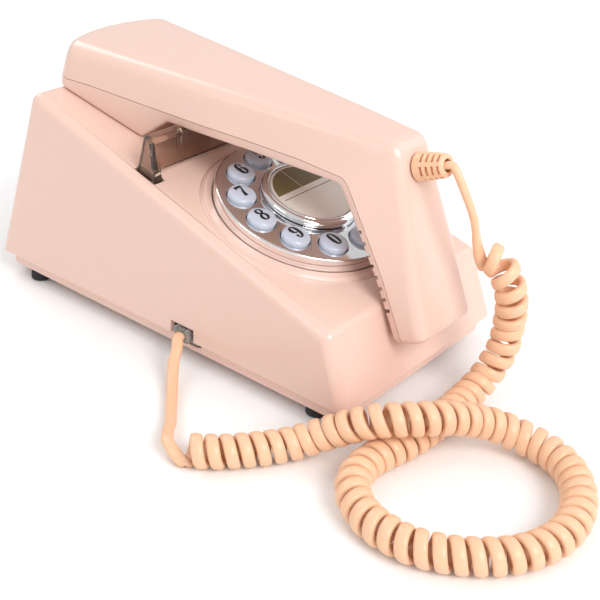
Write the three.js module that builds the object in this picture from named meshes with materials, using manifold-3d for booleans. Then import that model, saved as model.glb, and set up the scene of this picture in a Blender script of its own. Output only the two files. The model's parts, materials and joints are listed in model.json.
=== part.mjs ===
// A wedge-shaped one-piece telephone: a sloping casing with a round push-button dial, a bent
// handset that lies over it on a smoked cradle, and a curly handset cord lying in a loop.
// Millimetres, +Z up, -Y to the front. The origin is the centre of the footprint.
import * as THREE from 'three';
import Module from 'manifold-3d';
import { mergeVertices } from 'three/addons/utils/BufferGeometryUtils.js';
import { ConvexGeometry } from 'three/addons/geometries/ConvexGeometry.js';

const wasm = await Module();
wasm.setup();

// ---- driving dimensions ---------------------------------------------------------------------
const GAP = 0.3; // clearance between touching pieces
const FAR = 200; // longer than anything a cutting block has to pass

const CREASE = { y: -88.3, z: 40.3 }; // where the front face meets the slope
const SLOPE_TILT = THREE.MathUtils.degToRad(17.7);
const FRONT_FOOT_Y = -98.5;
const REAR_FOOT_Y = 107.5;
const RIDGE = { y: 78, z: 93.4 };
const CASING_BOTTOM = 10.9;
const CASING_HALF_WIDTH = 52.2; // at the front foot
const SIDE_TAPER = { back: 0.00825, up: 0.0437 }; // narrowing per mm
const EDGE_RADIUS = 4.5;
const WALL = 2.5;

const TRAY = { bottom: 4.6, floor: 2.2, inset: 2.8, wall: 2, corner: 6 };
const FOOT = { radius: 4.8, x: 43.5, front: -79.5, rear: 87.5 };
const SCREW = { x: 36, front: -62, rear: 70, headRadius: 3.2, shankRadius: 1.3, top: 19 };
const BOSS_RADIUS = 3.8;

const DIAL_S = 55.5; // up the slope from the crease
const PAD = { inner: 39.6, outer: 43.6, height: 1.1 }; // low step round the dial
const DIAL_BORE = 37;
const FACEPLATE = { radius: 39.1, top: 6.9, sheet: 1.2, skirt: 1.2 };
const KEY = { circle: 29.5, radius: 5.8, hole: 6.2, stem: 3, flange: 6.7, flangeDepth: 1.2, top: 9.7 };
const CENTRE = { foot: 20.4, edge: 20.9, edgeTop: 9.3, lip: 18.5, top: 10.8, label: 17.6, labelTop: 10.6 };
const MEMBRANE = { radius: 36.4, bottom: -4.6, sheet: 1.2, dome: 4, domeTop: -2.1 };
const KEYPAD_BOARD = { radius: 40, top: -4.9, bottom: -6.5 };

const CRADLE = { inner: 38.7, outer: 43.4, shoulder: 27.5, legEnd: -8, ridgeTop: 15.3 };
const CRADLE_SLOT = { s0: 99.6, s1: 111.8, inner: 38.1, outer: 44 };

const HANDSET = {
  cornerRear: 6, cornerFront: 3.6, cornerInner: 1.6, endRound: 2, wall: 2.5, endArc: 58, endCrown: 184,
};
const TOP_LINE = (s) => 19.3 + 0.249 * (175.5 - s);
const SEAM_LINE = (s) => 4 + 0.245 * (175.5 - s);
const UNDERSIDE_DROP = 4.6; // from the seam to the underside
const BEND = { outer: [21.5, 57.6], inner: [34.4, 34.5] };
const MOUTH_END = { outer: [-22.3, -4.2], inner: [-11.4, -10.8] };
const MOUTH_MID_INNER = [6.3, 8.5];
const SEAM_LIFT = 4; // seam above the mouthpiece's inner face
const GRILLE = { slots: 8, pitch: 4.5, width: 1.5, depth: 2.2, from: [19.9, 21.3], to: [-3.3, -0.5] };

const RELIEF = { y: -88.9, z: 91.6, length: 13, base: 5.6, tip: 4.5 };
const JACK = { y0: -20.2, y1: -7.2, top: 16.4 };
const PLUG = { y: -14.5, z: 12.9, width: 7.6, height: 6, inner: -40.5, outer: -53 };
const LEAD_DIAMETER = 3.9;
const COIL_DIAMETER = 13;

// The three stretches of the handset cord, from the handset to the base.
const HANDSET_LEAD = [
  [0, -102, 95.8], [0, -103.8, 95.7], [0, -106.2, 92.4], [0, -108.6, 88],
  [0, -111, 83.2], [0, -113.4, 77.4], [0.1, -115.6, 71.8], [1.2, -118, 65.8],
];
const COIL_ROUTE = [
  [3.6, -120.2, 62.6], [7.3, -122, 58], [11, -123.6, 52], [13, -125, 46], [14, -126, 39.8],
  [13.9, -126.4, 32.6], [12.5, -126.4, 25.2], [9.8, -125.2, 18.2], [4.4, -123, 10.6],
  [-5.3, -121.9, 7], [-16.8, -122.4, 6.6], [-27.7, -122.9, 6.6], [-37.2, -122.7, 6.6],
  [-45.5, -121.7, 6.6], [-54.7, -119.5, 6.6], [-63.7, -118.2, 6.6], [-72.9, -119.8, 6.6],
  [-80.3, -124.6, 6.6], [-85.4, -131.5, 6.6], [-88.4, -138.7, 6.6], [-89.3, -146.6, 6.6],
  [-89, -154.2, 6.6], [-86.4, -162.1, 6.6], [-82.5, -169.3, 6.6], [-76.8, -176.5, 6.6],
  [-70.5, -182.1, 6.6], [-62.3, -186.5, 6.6], [-52, -188.8, 6.6], [-41.2, -187.8, 6.6],
  [-31.2, -183.9, 6.6], [-22.3, -177.2, 6.6], [-16.7, -168.9, 6.6], [-14.4, -159.9, 6.9],
  [-15.3, -151.7, 8.2], [-18.9, -145.1, 10.8], [-24.8, -139.9, 14], [-32.2, -135.7, 17.2],
  [-39.5, -131.7, 19.4], [-46, -127.4, 20.4], [-51.3, -122.5, 20.6], [-55.7, -117.1, 20],
  [-59, -110.9, 17.4], [-61.9, -104.2, 13.4], [-65.7, -98.1, 9.8], [-70.6, -93.1, 7.4],
  [-76.6, -88.7, 6.6], [-82.7, -84.4, 6.6], [-88.3, -79.8, 6.6], [-93.5, -74.9, 6.6],
  [-97.8, -69.6, 6.6], [-101, -64.8, 6.6],
];
const BASE_LEAD = [
  [-54.1, -14.8, 13.2], [-56.2, -16.1, 12.6], [-58.4, -18, 11], [-62, -21.4, 7.6], [-67.5, -26.8, 4.6],
  [-75, -33.4, 3.1], [-83, -40.4, 3], [-90, -46.2, 3.8], [-95.6, -50.6, 5], [-100, -54.8, 6],
  [-102.4, -59, 6.5], [-102.2, -62.7, 6.6],
];

// ---- materials ------------------------------------------------------------------------------
const paint = (color, roughness, metalness = 0, extra = {}) =>
  new THREE.MeshStandardMaterial({ color, roughness, metalness, ...extra });
const PINK = paint(0xf3c4b4, 0.28);
const PEACH = paint(0xf7b48c, 0.42);
const CHROME = paint(0xdfe2e4, 0.08, 1);
const SILVER = paint(0xc9c8c0, 0.3, 0.6);
const KEY_GREY = paint(0xb9bfcf, 0.25);
const SMOKE = paint(0x5b3a26, 0.12, 0, { transparent: true, opacity: 0.6 });
const BLACK_RUBBER = paint(0x1b1b1c, 0.8);
const DARK_PLASTIC = paint(0x2a2a2c, 0.5);
const SILICONE = paint(0x8d8f94, 0.7);
const BOARD_GREEN = paint(0x2f6b46, 0.5);
const STEEL = paint(0x9a9ea3, 0.35, 0.9);
const CLEAR = paint(0xe6e9ea, 0.08, 0, { transparent: true, opacity: 0.35 });

// ---- helpers --------------------------------------------------------------------------------
const phone = new THREE.Group();
const slope = new THREE.Group(); // local Y runs up the slope, local Z stands off it
slope.position.set(0, CREASE.y, CREASE.z);
slope.rotation.x = SLOPE_TILT;
phone.add(slope);
slope.updateMatrix();

function addPiece(parent, name, shape, material) {
  const geometry = shape.isBufferGeometry ? shape : toGeometry(shape);
  const piece = new THREE.Mesh(geometry, material);
  piece.name = name;
  parent.add(piece);
  return piece;
}

function toSolid(geometry) {
  const bare = geometry.clone();
  bare.deleteAttribute('normal');
  bare.deleteAttribute('uv');
  const merged = mergeVertices(bare, 1e-4);
  const vertProperties = new Float32Array(merged.attributes.position.array);
  const triVerts = new Uint32Array(merged.index.array);
  return new wasm.Manifold(new wasm.Mesh({ numProp: 3, vertProperties, triVerts }));
}

function toGeometry(solid) {
  const { vertProperties, triVerts } = solid.getMesh();
  const geometry = new THREE.BufferGeometry();
  geometry.setAttribute('position', new THREE.BufferAttribute(vertProperties, 3));
  geometry.setIndex(new THREE.BufferAttribute(triVerts, 1));
  geometry.computeVertexNormals();
  return geometry;
}

const onSlope = (geometry) => geometry.applyMatrix4(slope.matrix);

function block(x0, x1, y0, y1, z0, z1) {
  const geometry = new THREE.BoxGeometry(x1 - x0, y1 - y0, z1 - z0);
  return geometry.translate((x0 + x1) / 2, (y0 + y1) / 2, (z0 + z1) / 2);
}

// A turned body about Z; the profile lists [radius, height] and runs up the outside.
function turned(profile, segments) {
  const points = profile.map(([radius, height]) => new THREE.Vector2(radius, height));
  return new THREE.LatheGeometry(points, segments).rotateX(Math.PI / 2);
}

const disc = (radius, z0, z1, segments = 24) =>
  turned([[0, z0], [radius, z0], [radius, z1], [0, z1]], segments);

// A closed outline in the YZ plane, carried along X from x0 to x1.
const YZ_ALONG_X = new THREE.Matrix4().makeBasis(
  new THREE.Vector3(0, 1, 0), new THREE.Vector3(0, 0, 1), new THREE.Vector3(1, 0, 0));
function slab(outline, x0, x1) {
  const shape = new THREE.Shape(outline.map(([y, z]) => new THREE.Vector2(y, z)));
  const geometry = new THREE.ExtrudeGeometry(shape, { depth: x1 - x0, bevelEnabled: false });
  return geometry.applyMatrix4(YZ_ALONG_X).translate(x0, 0, 0);
}

// A closed outline in the XY plane, carried up Z from z0 to z1.
function plate(shape, z0, z1, curveSegments = 6) {
  const options = { depth: z1 - z0, bevelEnabled: false, curveSegments };
  return new THREE.ExtrudeGeometry(shape, options).translate(0, 0, z0);
}

// ---- casing ---------------------------------------------------------------------------------
function planeThrough(normal, point) {
  const unit = new THREE.Vector3(...normal).normalize();
  return new THREE.Plane(unit, -unit.dot(new THREE.Vector3(...point)));
}

function casingPlanes() {
  const riseFront = [CREASE.y - FRONT_FOOT_Y, CREASE.z - CASING_BOTTOM];
  const fallRear = [REAR_FOOT_Y - RIDGE.y, RIDGE.z - CASING_BOTTOM];
  const corner = [CASING_HALF_WIDTH, FRONT_FOOT_Y, CASING_BOTTOM];
  return {
    right: planeThrough([1, SIDE_TAPER.back, SIDE_TAPER.up], corner),
    left: planeThrough([-1, SIDE_TAPER.back, SIDE_TAPER.up], [-corner[0], corner[1], corner[2]]),
    front: planeThrough([0, -riseFront[1], riseFront[0]], [0, CREASE.y, CREASE.z]),
    top: planeThrough([0, -Math.sin(SLOPE_TILT), Math.cos(SLOPE_TILT)], [0, CREASE.y, CREASE.z]),
    rear: planeThrough([0, fallRear[1], fallRear[0]], [0, RIDGE.y, RIDGE.z]),
    floor: planeThrough([0, 0, -1], [0, 0, CASING_BOTTOM - 3 * EDGE_RADIUS]),
  };
}

function meetingPoint(planes, inset) {
  const [a, b, c] = planes;
  const bc = b.normal.clone().cross(c.normal);
  const ca = c.normal.clone().cross(a.normal);
  const ab = a.normal.clone().cross(b.normal);
  const sum = bc.clone().multiplyScalar(a.constant + inset)
    .addScaledVector(ca, b.constant + inset)
    .addScaledVector(ab, c.constant + inset);
  return sum.multiplyScalar(-1 / a.normal.dot(bc));
}

// The casing's rounded outside, moved inward by inset.
function roundedWedge(inset) {
  const { left, right, front, top, rear, floor } = casingPlanes();
  const radius = Math.max(EDGE_RADIUS - inset, 1);
  const ball = new THREE.SphereGeometry(radius, 16, 8).attributes.position;
  const points = [];
  for (const side of [left, right]) {
    for (const pair of [[front, floor], [front, top], [top, rear], [rear, floor]]) {
      const centre = meetingPoint([side, ...pair], inset + radius);
      for (let i = 0; i < ball.count; i += 1) {
        points.push(new THREE.Vector3().fromBufferAttribute(ball, i).add(centre));
      }
    }
  }
  return toSolid(new ConvexGeometry(points));
}

function dialPad() {
  const { inner, outer, height } = PAD;
  const profile = [
    [DIAL_BORE, -WALL], [outer, -WALL], [outer, -0.2], [outer - 0.5, 0.5], [outer - 1.2, 0.9],
    [outer - 2, height], [inner + 0.3, height], [inner, height - 0.3], [inner, 0], [DIAL_BORE, 0],
    [DIAL_BORE, -WALL],
  ];
  return toSolid(onSlope(turned(profile, 48).translate(0, DIAL_S, 0)));
}

function screwBoss(x, y) {
  const roof = CREASE.z + (y - CREASE.y) * Math.tan(SLOPE_TILT) - WALL / 2;
  const post = toSolid(disc(BOSS_RADIUS, CASING_BOTTOM, roof, 12).translate(x, y, 0));
  const bore = disc(SCREW.shankRadius + GAP, CASING_BOTTOM - 1, SCREW.top + 3, 12);
  return post.subtract(toSolid(bore.translate(x, y, 0)));
}

function upperCasing() {
  let shell = roundedWedge(0).subtract(roundedWedge(WALL));
  shell = shell.subtract(toSolid(block(-FAR, FAR, -FAR, FAR, -FAR, CASING_BOTTOM)));
  const bore = disc(DIAL_BORE + 0.5, -2 * WALL, WALL, 48).translate(0, DIAL_S, 0);
  shell = shell.subtract(toSolid(onSlope(bore))).add(dialPad());
  const { s0, s1, inner, outer } = CRADLE_SLOT;
  for (const side of [-1, 1]) {
    const slot = block(Math.min(side * inner, side * outer), Math.max(side * inner, side * outer),
      s0, s1, -2 * WALL, WALL);
    shell = shell.subtract(toSolid(onSlope(slot)));
  }
  for (const x of [-SCREW.x, SCREW.x]) {
    for (const y of [SCREW.front, SCREW.rear]) shell = shell.add(screwBoss(x, y));
  }
  for (const angle of [45, 135, 225, 315]) {
    const a = THREE.MathUtils.degToRad(angle);
    const post = disc(2, KEYPAD_BOARD.top + GAP, -WALL / 2, 8);
    post.translate(39.5 * Math.cos(a), DIAL_S + 39.5 * Math.sin(a), 0);
    shell = shell.add(toSolid(onSlope(post)));
  }
  const bracket = block(-46, -34, 113, 115.5, -18, -WALL / 2); // carries the hook switch
  shell = shell.add(toSolid(onSlope(bracket)));
  shell = shell.subtract(toSolid(block(-FAR, -45, JACK.y0, JACK.y1, 0, JACK.top)));
  return shell.subtract(toSolid(block(-6.2, 6.2, 98, FAR, 0, 20)));
}

// ---- base -----------------------------------------------------------------------------------
function footprint(inset) {
  const front = CASING_HALF_WIDTH - inset;
  const rear = front - SIDE_TAPER.back * (REAR_FOOT_Y - FRONT_FOOT_Y);
  const y0 = FRONT_FOOT_Y + inset;
  const y1 = REAR_FOOT_Y - inset;
  const r = Math.max(TRAY.corner - Math.max(inset - TRAY.inset, 0), 1);
  const shape = new THREE.Shape();
  shape.moveTo(-front + r, y0);
  shape.lineTo(front - r, y0).quadraticCurveTo(front, y0, front, y0 + r);
  shape.lineTo(rear, y1 - r).quadraticCurveTo(rear, y1, rear - r, y1);
  shape.lineTo(-rear + r, y1).quadraticCurveTo(-rear, y1, -rear, y1 - r);
  shape.lineTo(-front, y0 + r).quadraticCurveTo(-front, y0, -front + r, y0);
  return shape;
}

function basePlate() {
  const rim = CASING_BOTTOM - GAP;
  const floorTop = TRAY.bottom + TRAY.floor;
  let tray = toSolid(plate(footprint(TRAY.inset), TRAY.bottom, rim));
  tray = tray.subtract(toSolid(plate(footprint(TRAY.inset + TRAY.wall), floorTop, FAR)));
  for (const x of [-SCREW.x, SCREW.x]) {
    for (const y of [SCREW.front, SCREW.rear]) {
      tray = tray.add(toSolid(disc(5.5, floorTop - 1, rim, 16).translate(x, y, 0)));
      const through = disc(SCREW.shankRadius + GAP, 0, FAR, 12).translate(x, y, 0);
      const recess = disc(SCREW.headRadius + GAP, 0, 7.6, 16).translate(x, y, 0);
      tray = tray.subtract(toSolid(through)).subtract(toSolid(recess));
    }
  }
  for (const x of [-24, 24]) {
    for (const y of [-14, 38]) tray = tray.add(toSolid(disc(3, 6, 13.7, 10).translate(x, y, 0)));
  }
  tray = tray.subtract(toSolid(block(-FAR, -45, -23.2, -14.5, 7.6, FAR)));
  return tray.subtract(toSolid(block(-FAR, -36.5, -20.8, -8.2, TRAY.bottom + TRAY.floor + GAP, FAR)));
}

const rubberFoot = () =>
  turned([[0, 0], [4, 0], [FOOT.radius, 0.8], [4.4, TRAY.bottom - GAP], [0, TRAY.bottom - GAP]], 20);

function baseScrew() {
  const { headRadius, shankRadius, top } = SCREW;
  const head = [[0, 5.6], [headRadius - 0.6, 5.6], [headRadius, 6.2], [headRadius, 7.3]];
  return turned([...head, [shankRadius, 7.3], [shankRadius, top], [0, top]], 12);
}

function handsetJack() {
  const { y, z, width, height, inner, outer } = PLUG;
  const body = toSolid(block(-48.2, -37, -20.4, -8.6, 7.4, 17.6));
  const gap = GAP + 0.05;
  return body.subtract(toSolid(block(outer, inner + gap,
    y - width / 2 - gap, y + width / 2 + gap, z - height / 2 - gap, z + height / 2 + gap)));
}

function cordPlug() {
  const { y, z, width, height, inner, outer } = PLUG;
  const body = toSolid(block(outer, inner, y - width / 2, y + width / 2, z - height / 2, z + height / 2));
  return body.subtract(toSolid(block(outer - 1, outer + 5, y - 2.4, y + 2.4, z + 1.8, z + 9)));
}

function lineJack() {
  const body = toSolid(block(-7.5, 7.5, 86, 99.5, 7.1, 20.5));
  return body.subtract(toSolid(block(-4.8, 4.8, 89, FAR, 11.3, 18.3)));
}

function addBase() {
  addPiece(phone, 'upper_casing', upperCasing(), PINK);
  addPiece(phone, 'base_plate', basePlate(), PINK);
  let count = 0;
  for (const x of [-1, 1]) {
    for (const end of ['front', 'rear']) {
      count += 1;
      const foot = addPiece(phone, `rubber_foot_${count}`, rubberFoot(), BLACK_RUBBER);
      foot.position.set(x * FOOT.x, FOOT[end], 0);
      const screw = addPiece(phone, `base_screw_${count}`, baseScrew(), STEEL);
      screw.position.set(x * SCREW.x, SCREW[end], 0);
    }
  }
  addPiece(phone, 'main_board', block(-30, 30, -20, 44, 14, 15.6), BOARD_GREEN);
  addPiece(phone, 'ringer', disc(14, 7.1, 15, 24).translate(0, 64, 0), DARK_PLASTIC);
  addPiece(phone, 'base_weight', block(-28, 28, -80, -38, 7.1, 12), STEEL);
  addPiece(phone, 'line_jack', lineJack(), DARK_PLASTIC);
  addPiece(phone, 'handset_jack', handsetJack(), DARK_PLASTIC);
  addPiece(phone, 'cord_plug', cordPlug(), CLEAR);
}

// ---- dial -----------------------------------------------------------------------------------
// Key names in order round the dial, counter-clockwise from the right-hand side.
const KEY_NAMES = ['2', '3', '4', '5', '6', '7', '8', '9', '0', 'star', 'hash', '1'];
const keyAngle = (index) => (index * Math.PI) / 6;
const keyPlace = (index) =>
  [KEY.circle * Math.cos(keyAngle(index)), DIAL_S + KEY.circle * Math.sin(keyAngle(index))];

function dialFaceplate() {
  const { radius, top, sheet, skirt } = FACEPLATE;
  const profile = [
    [0, top - sheet], [radius - skirt, top - sheet], [radius - skirt, GAP], [radius, GAP],
    [radius, top - 0.4], [radius - 0.4, top], [0, top],
  ];
  let face = toSolid(turned(profile, 48).translate(0, DIAL_S, 0));
  KEY_NAMES.forEach((name, index) => {
    const [x, y] = keyPlace(index);
    face = face.subtract(toSolid(disc(KEY.hole, -1, 10, 20).translate(x, y, 0)));
  });
  return face;
}

function keyCap() {
  const { radius, stem, flange, flangeDepth, top } = KEY;
  const under = FACEPLATE.top - FACEPLATE.sheet - GAP;
  return turned([
    [0, 0], [stem, 0], [stem, under - flangeDepth], [flange, under - flangeDepth], [flange, under],
    [radius, under], [radius, top - 1.6], [radius - 0.5, top - 0.8], [radius - 1.8, top - 0.2], [0, top],
  ], 18);
}

function keypadMembrane() {
  const { radius, bottom, sheet, dome, domeTop } = MEMBRANE;
  let sheetSolid = toSolid(disc(radius, bottom, bottom + sheet, 32).translate(0, DIAL_S, 0));
  KEY_NAMES.forEach((name, index) => {
    const [x, y] = keyPlace(index);
    const profile = [[0, bottom], [dome, bottom], [dome, bottom + sheet], [2.4, domeTop], [0, domeTop]];
    sheetSolid = sheetSolid.add(toSolid(turned(profile, 10).translate(x, y, 0)));
  });
  return sheetSolid;
}

function centreRing() {
  const { edge, edgeTop, lip, top, label, labelTop } = CENTRE;
  const foot = FACEPLATE.top + GAP;
  const seat = labelTop - 1.5;
  const hole = 12;
  return turned([
    [hole, foot], [CENTRE.foot, foot], [edge, edgeTop - 0.3], [edge - 0.2, edgeTop], [lip + 0.5, top - 0.2],
    [lip, top], [label + GAP, top], [label + GAP, seat], [hole, seat], [hole, foot],
  ], 48).translate(0, DIAL_S, 0);
}

function addDial() {
  addPiece(slope, 'dial_faceplate', dialFaceplate(), CHROME);
  addPiece(slope, 'centre_ring', centreRing(), CHROME);
  const { label, labelTop } = CENTRE;
  addPiece(slope, 'centre_label', disc(label, labelTop - 1.2, labelTop, 48).translate(0, DIAL_S, 0), SILVER);
  KEY_NAMES.forEach((name, index) => {
    const [x, y] = keyPlace(index);
    addPiece(slope, `key_${name}`, keyCap(), KEY_GREY).position.set(x, y, 0);
  });
  addPiece(slope, 'keypad_membrane', keypadMembrane(), SILICONE);
  const { radius, top, bottom } = KEYPAD_BOARD;
  addPiece(slope, 'keypad_board', disc(radius, bottom, top, 32).translate(0, DIAL_S, 0), BOARD_GREEN);
}

// ---- cradle ---------------------------------------------------------------------------------
function hookCradle() {
  const { inner, outer, shoulder, legEnd, ridgeTop } = CRADLE;
  const crown = [[110.9, 14.4], [110.4, 16.6], [108.8, 17.5], [107, 17.4], [105.9, 16.2]];
  const cheek = [
    [100.4, 0], [100.4, -3], [103.2, -3], [103.2, legEnd], [108.4, legEnd], [108.4, -3], [110.9, -3],
    ...crown,
  ];
  const raised = [[103.3, 2.6], [104.9, 2.6], [108.8, 13], ...crown];
  const web = [[103.3, 2.6], [104.9, 2.6], [110, ridgeTop - 1.6], [109.6, ridgeTop], [107, ridgeTop]];
  let cradle = toSolid(slab(web, -shoulder - 0.5, shoulder + 0.5));
  cradle = cradle.add(toSolid(slab(raised, shoulder, inner + 0.5)));
  cradle = cradle.add(toSolid(slab(raised, -inner - 0.5, -shoulder)));
  cradle = cradle.add(toSolid(slab(cheek, inner, outer)));
  return cradle.add(toSolid(slab(cheek, -outer, -inner)));
}

function addCradle() {
  addPiece(slope, 'hook_cradle', hookCradle(), SMOKE);
  const travelStop = CRADLE.legEnd - GAP;
  addPiece(slope, 'hook_switch', block(-45, -36, 102, 113 - GAP, travelStop - 9, travelStop), DARK_PLASTIC);
}

// ---- handset --------------------------------------------------------------------------------
const between = ([a0, a1], [b0, b1], t) => [a0 + (b0 - a0) * t, a1 + (b1 - a1) * t];

// Cross-sections from the earpiece to the mouthpiece: [inner point, outer point, half-widths at
// the inner edge, the seam and the outer edge, height of the seam above the inner edge].
function handsetStations() {
  const bar = (s, widthInner, widthSeam, low = SEAM_LINE(s) - UNDERSIDE_DROP) => ({
    inner: [s, low], outer: [s, TOP_LINE(s)], widthInner, widthSeam,
    widthOuter: 9.4 + 0.127 * (s - 18), seam: SEAM_LINE(s) - low,
    corner: THREE.MathUtils.mapLinear(s, 54, 190, HANDSET.cornerFront, HANDSET.cornerRear),
  });
  const mouth = (t, widthInner, widthOuter, inner) => ({
    inner, outer: between(BEND.outer, MOUTH_END.outer, t), widthInner,
    widthSeam: widthInner + 0.4, widthOuter, seam: SEAM_LIFT, corner: HANDSET.cornerFront,
  });
  return [
    bar(190, 34.4, 33.8, GAP), bar(175.5, 32.8, 32.2, GAP), bar(150, 29.8, 29.5, GAP),
    bar(127, 26.8, 27.6, GAP), bar(116, 25.6, 26.4), bar(100, 24, 24.9), bar(77, 21.1, 21.9),
    bar(54, 19.2, 19.7),
    mouth(0, 18, 9, BEND.inner),
    mouth(0.28, 18.2, 12, between(BEND.inner, MOUTH_MID_INNER, 0.45)),
    mouth(0.62, 18.4, 15.2, MOUTH_MID_INNER),
    mouth(1, 18.6, 17.8, MOUTH_END.inner),
  ];
}

function handsetRing(station, inset, shrink) {
  const inner = new THREE.Vector2(...station.inner);
  const outer = new THREE.Vector2(...station.outer);
  const across = outer.clone().sub(inner);
  const depth = across.length();
  across.normalize();
  const lift = inset + shrink;
  const seam = THREE.MathUtils.clamp(station.seam, lift + 0.6, depth - lift - 0.6);
  const widthAt = (v) => (v < station.seam
    ? THREE.MathUtils.mapLinear(v, 0, station.seam, station.widthInner, station.widthSeam)
    : THREE.MathUtils.mapLinear(v, station.seam, depth, station.widthSeam, station.widthOuter)) - lift;
  const corner = (radius, v, sign) => [0, 30, 60, 90].map((degrees) => {
    const a = THREE.MathUtils.degToRad(degrees);
    const height = v - sign * radius * (1 - Math.sin(a));
    return [widthAt(height) - radius * (1 - Math.cos(a)), height];
  });
  const radiusOuter = Math.max(station.corner - inset, 0.6);
  const radiusInner = Math.max(HANDSET.cornerInner - inset, 0.4);
  const half = [
    ...corner(radiusInner, lift, -1).reverse(), [widthAt(seam), seam],
    ...corner(radiusOuter, depth - lift, 1),
  ];
  const place = (x, v) => {
    const p = inner.clone().addScaledVector(across, v);
    return new THREE.Vector3(x, p.x, p.y);
  };
  return [...half.map(([x, v]) => place(x, v)), ...half.reverse().map(([x, v]) => place(-x, v))];
}

// Joins equal rings of points into one closed body with flat ends.
function loft(rings) {
  const count = rings[0].length;
  const indices = [];
  for (let i = 0; i < rings.length - 1; i += 1) {
    for (let j = 0; j < count; j += 1) {
      const a = i * count + j;
      const b = i * count + ((j + 1) % count);
      indices.push(a, b, b + count, a, b + count, a + count);
    }
  }
  const last = (rings.length - 1) * count;
  for (let j = 1; j < count - 1; j += 1) {
    indices.push(0, j + 1, j, last, last + j, last + j + 1);
  }
  const geometry = new THREE.BufferGeometry().setFromPoints(rings.flat());
  geometry.setIndex(indices);
  return toSolid(geometry);
}

function handsetBody(inset) {
  const stations = handsetStations();
  const rings = stations.slice(0, -1).map((station) => handsetRing(station, inset, 0));
  const end = stations[stations.length - 1];
  const before = stations[stations.length - 2];
  const nearEnd = (distance) => {
    const t = 1 - distance / 23;
    const mixed = { ...end };
    for (const key of ['widthInner', 'widthSeam', 'widthOuter']) {
      mixed[key] = THREE.MathUtils.lerp(before[key], end[key], t);
    }
    mixed.inner = between(before.inner, end.inner, t);
    mixed.outer = between(before.outer, end.outer, t);
    return mixed;
  };
  const { endRound, endArc, endCrown } = HANDSET;
  if (inset > 0) {
    rings.push(handsetRing(nearEnd(inset), inset, 0));
  } else {
    rings.push(handsetRing(nearEnd(endRound), 0, 0));
    rings.push(handsetRing(nearEnd(endRound * 0.3), 0, endRound * 0.3));
    rings.push(handsetRing(end, 0, endRound));
  }
  const outline = new THREE.Shape();
  const cornerX = 25 - inset;
  const arcCentre = endCrown - endArc;
  const arcRadius = endArc - inset;
  const cornerS = arcCentre + Math.sqrt(arcRadius ** 2 - cornerX ** 2);
  const open = Math.acos(cornerX / arcRadius);
  outline.moveTo(-60, -60).lineTo(60, -60).lineTo(60, 150).lineTo(35 - inset, 160);
  outline.quadraticCurveTo(32.5 - inset, cornerS - 3.8, cornerX, cornerS);
  outline.absarc(0, arcCentre, arcRadius, open, Math.PI - open, false);
  outline.quadraticCurveTo(-32.5 + inset, cornerS - 3.8, -35 + inset, 160);
  outline.lineTo(-60, 150).lineTo(-60, -60);
  return loft(rings).intersect(toSolid(plate(outline, -40, 90, 12)));
}

// Everything below the seam, lowered by drop.
function belowSeam(drop) {
  const sideways = new THREE.Vector2(MOUTH_END.outer[0] - MOUTH_END.inner[0],
    MOUTH_END.outer[1] - MOUTH_END.inner[1]).normalize();
  const lifted = ([s, h]) =>
    [s + sideways.x * (SEAM_LIFT - drop), h + sideways.y * (SEAM_LIFT - drop)];
  const end = lifted(MOUTH_END.inner);
  const middle = lifted(MOUTH_MID_INNER);
  const beyond = between(middle, end, 2);
  const bend = [BEND.inner[0] - 1.2, SEAM_LINE(BEND.inner[0] - 1.2) - drop];
  return toSolid(slab([
    [FAR, SEAM_LINE(FAR) - drop], bend, middle, beyond, [beyond[0], -FAR], [FAR, -FAR],
  ].reverse(), -FAR, FAR));
}

function grilleSlots() {
  const { slots, width, depth, from, to } = GRILLE;
  const along = new THREE.Vector2(to[0] - from[0], to[1] - from[1]);
  const cutters = [];
  for (let i = 0; i < slots; i += 1) {
    const slot = block(-30, 30, -width / 2, width / 2, -3, depth);
    slot.rotateX(Math.atan2(along.y, along.x) + Math.PI);
    const [s, h] = between(from, to, i / (slots - 1));
    cutters.push(toSolid(slot.translate(0, s, h)));
  }
  return cutters;
}

function handsetShells() {
  const shell = handsetBody(0).subtract(handsetBody(HANDSET.wall));
  const upper = shell.subtract(belowSeam(-GAP / 2));
  let lower = shell.intersect(belowSeam(GAP / 2));
  for (const slot of grilleSlots()) lower = lower.subtract(slot);
  return { upper, lower };
}

function strainRelief() {
  const { length, base, tip } = RELIEF;
  let body = toSolid(turned([[0, GAP], [base, GAP], [base, 1.6], [tip, length - 1], [tip - 0.8, length],
    [0, length]], 20));
  for (let row = 0; row < 4; row += 1) {
    const z = 3.6 + row * 2.6;
    for (const side of [0, Math.PI]) {
      const notch = block(-2.6, 2.6, base - 2.4, base, z, z + 1.2);
      body = body.subtract(toSolid(notch.rotateZ((row % 2) * (Math.PI / 2) + side)));
    }
  }
  return body;
}

function addHandset() {
  const { upper, lower } = handsetShells();
  addPiece(slope, 'handset_upper_shell', upper, PINK);
  addPiece(slope, 'handset_lower_shell', lower, PINK);
  const receiver = disc(17, 3.4, 9.4, 28).translate(0, 151, 0);
  addPiece(slope, 'receiver_capsule', receiver, DARK_PLASTIC);
  const lean = Math.atan2(MOUTH_END.outer[1] - BEND.outer[1], MOUTH_END.outer[0] - BEND.outer[0]);
  const microphone = addPiece(slope, 'microphone_capsule', disc(4.8, 0, 5, 16), DARK_PLASTIC);
  microphone.position.set(0, 4.4, 12.3);
  microphone.rotation.x = lean + Math.PI;
  const tilt = -Math.atan(0.245);
  const weight = addPiece(slope, 'handset_weight', block(-6, 6, -20, 20, 0, 5), STEEL);
  weight.position.set(0, 80, SEAM_LINE(80) + 1.5);
  weight.rotation.x = tilt;
  const relief = addPiece(phone, 'strain_relief', strainRelief(), PEACH);
  relief.position.set(0, RELIEF.y, RELIEF.z);
  relief.rotation.x = lean + SLOPE_TILT + Math.PI;
}

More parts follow.
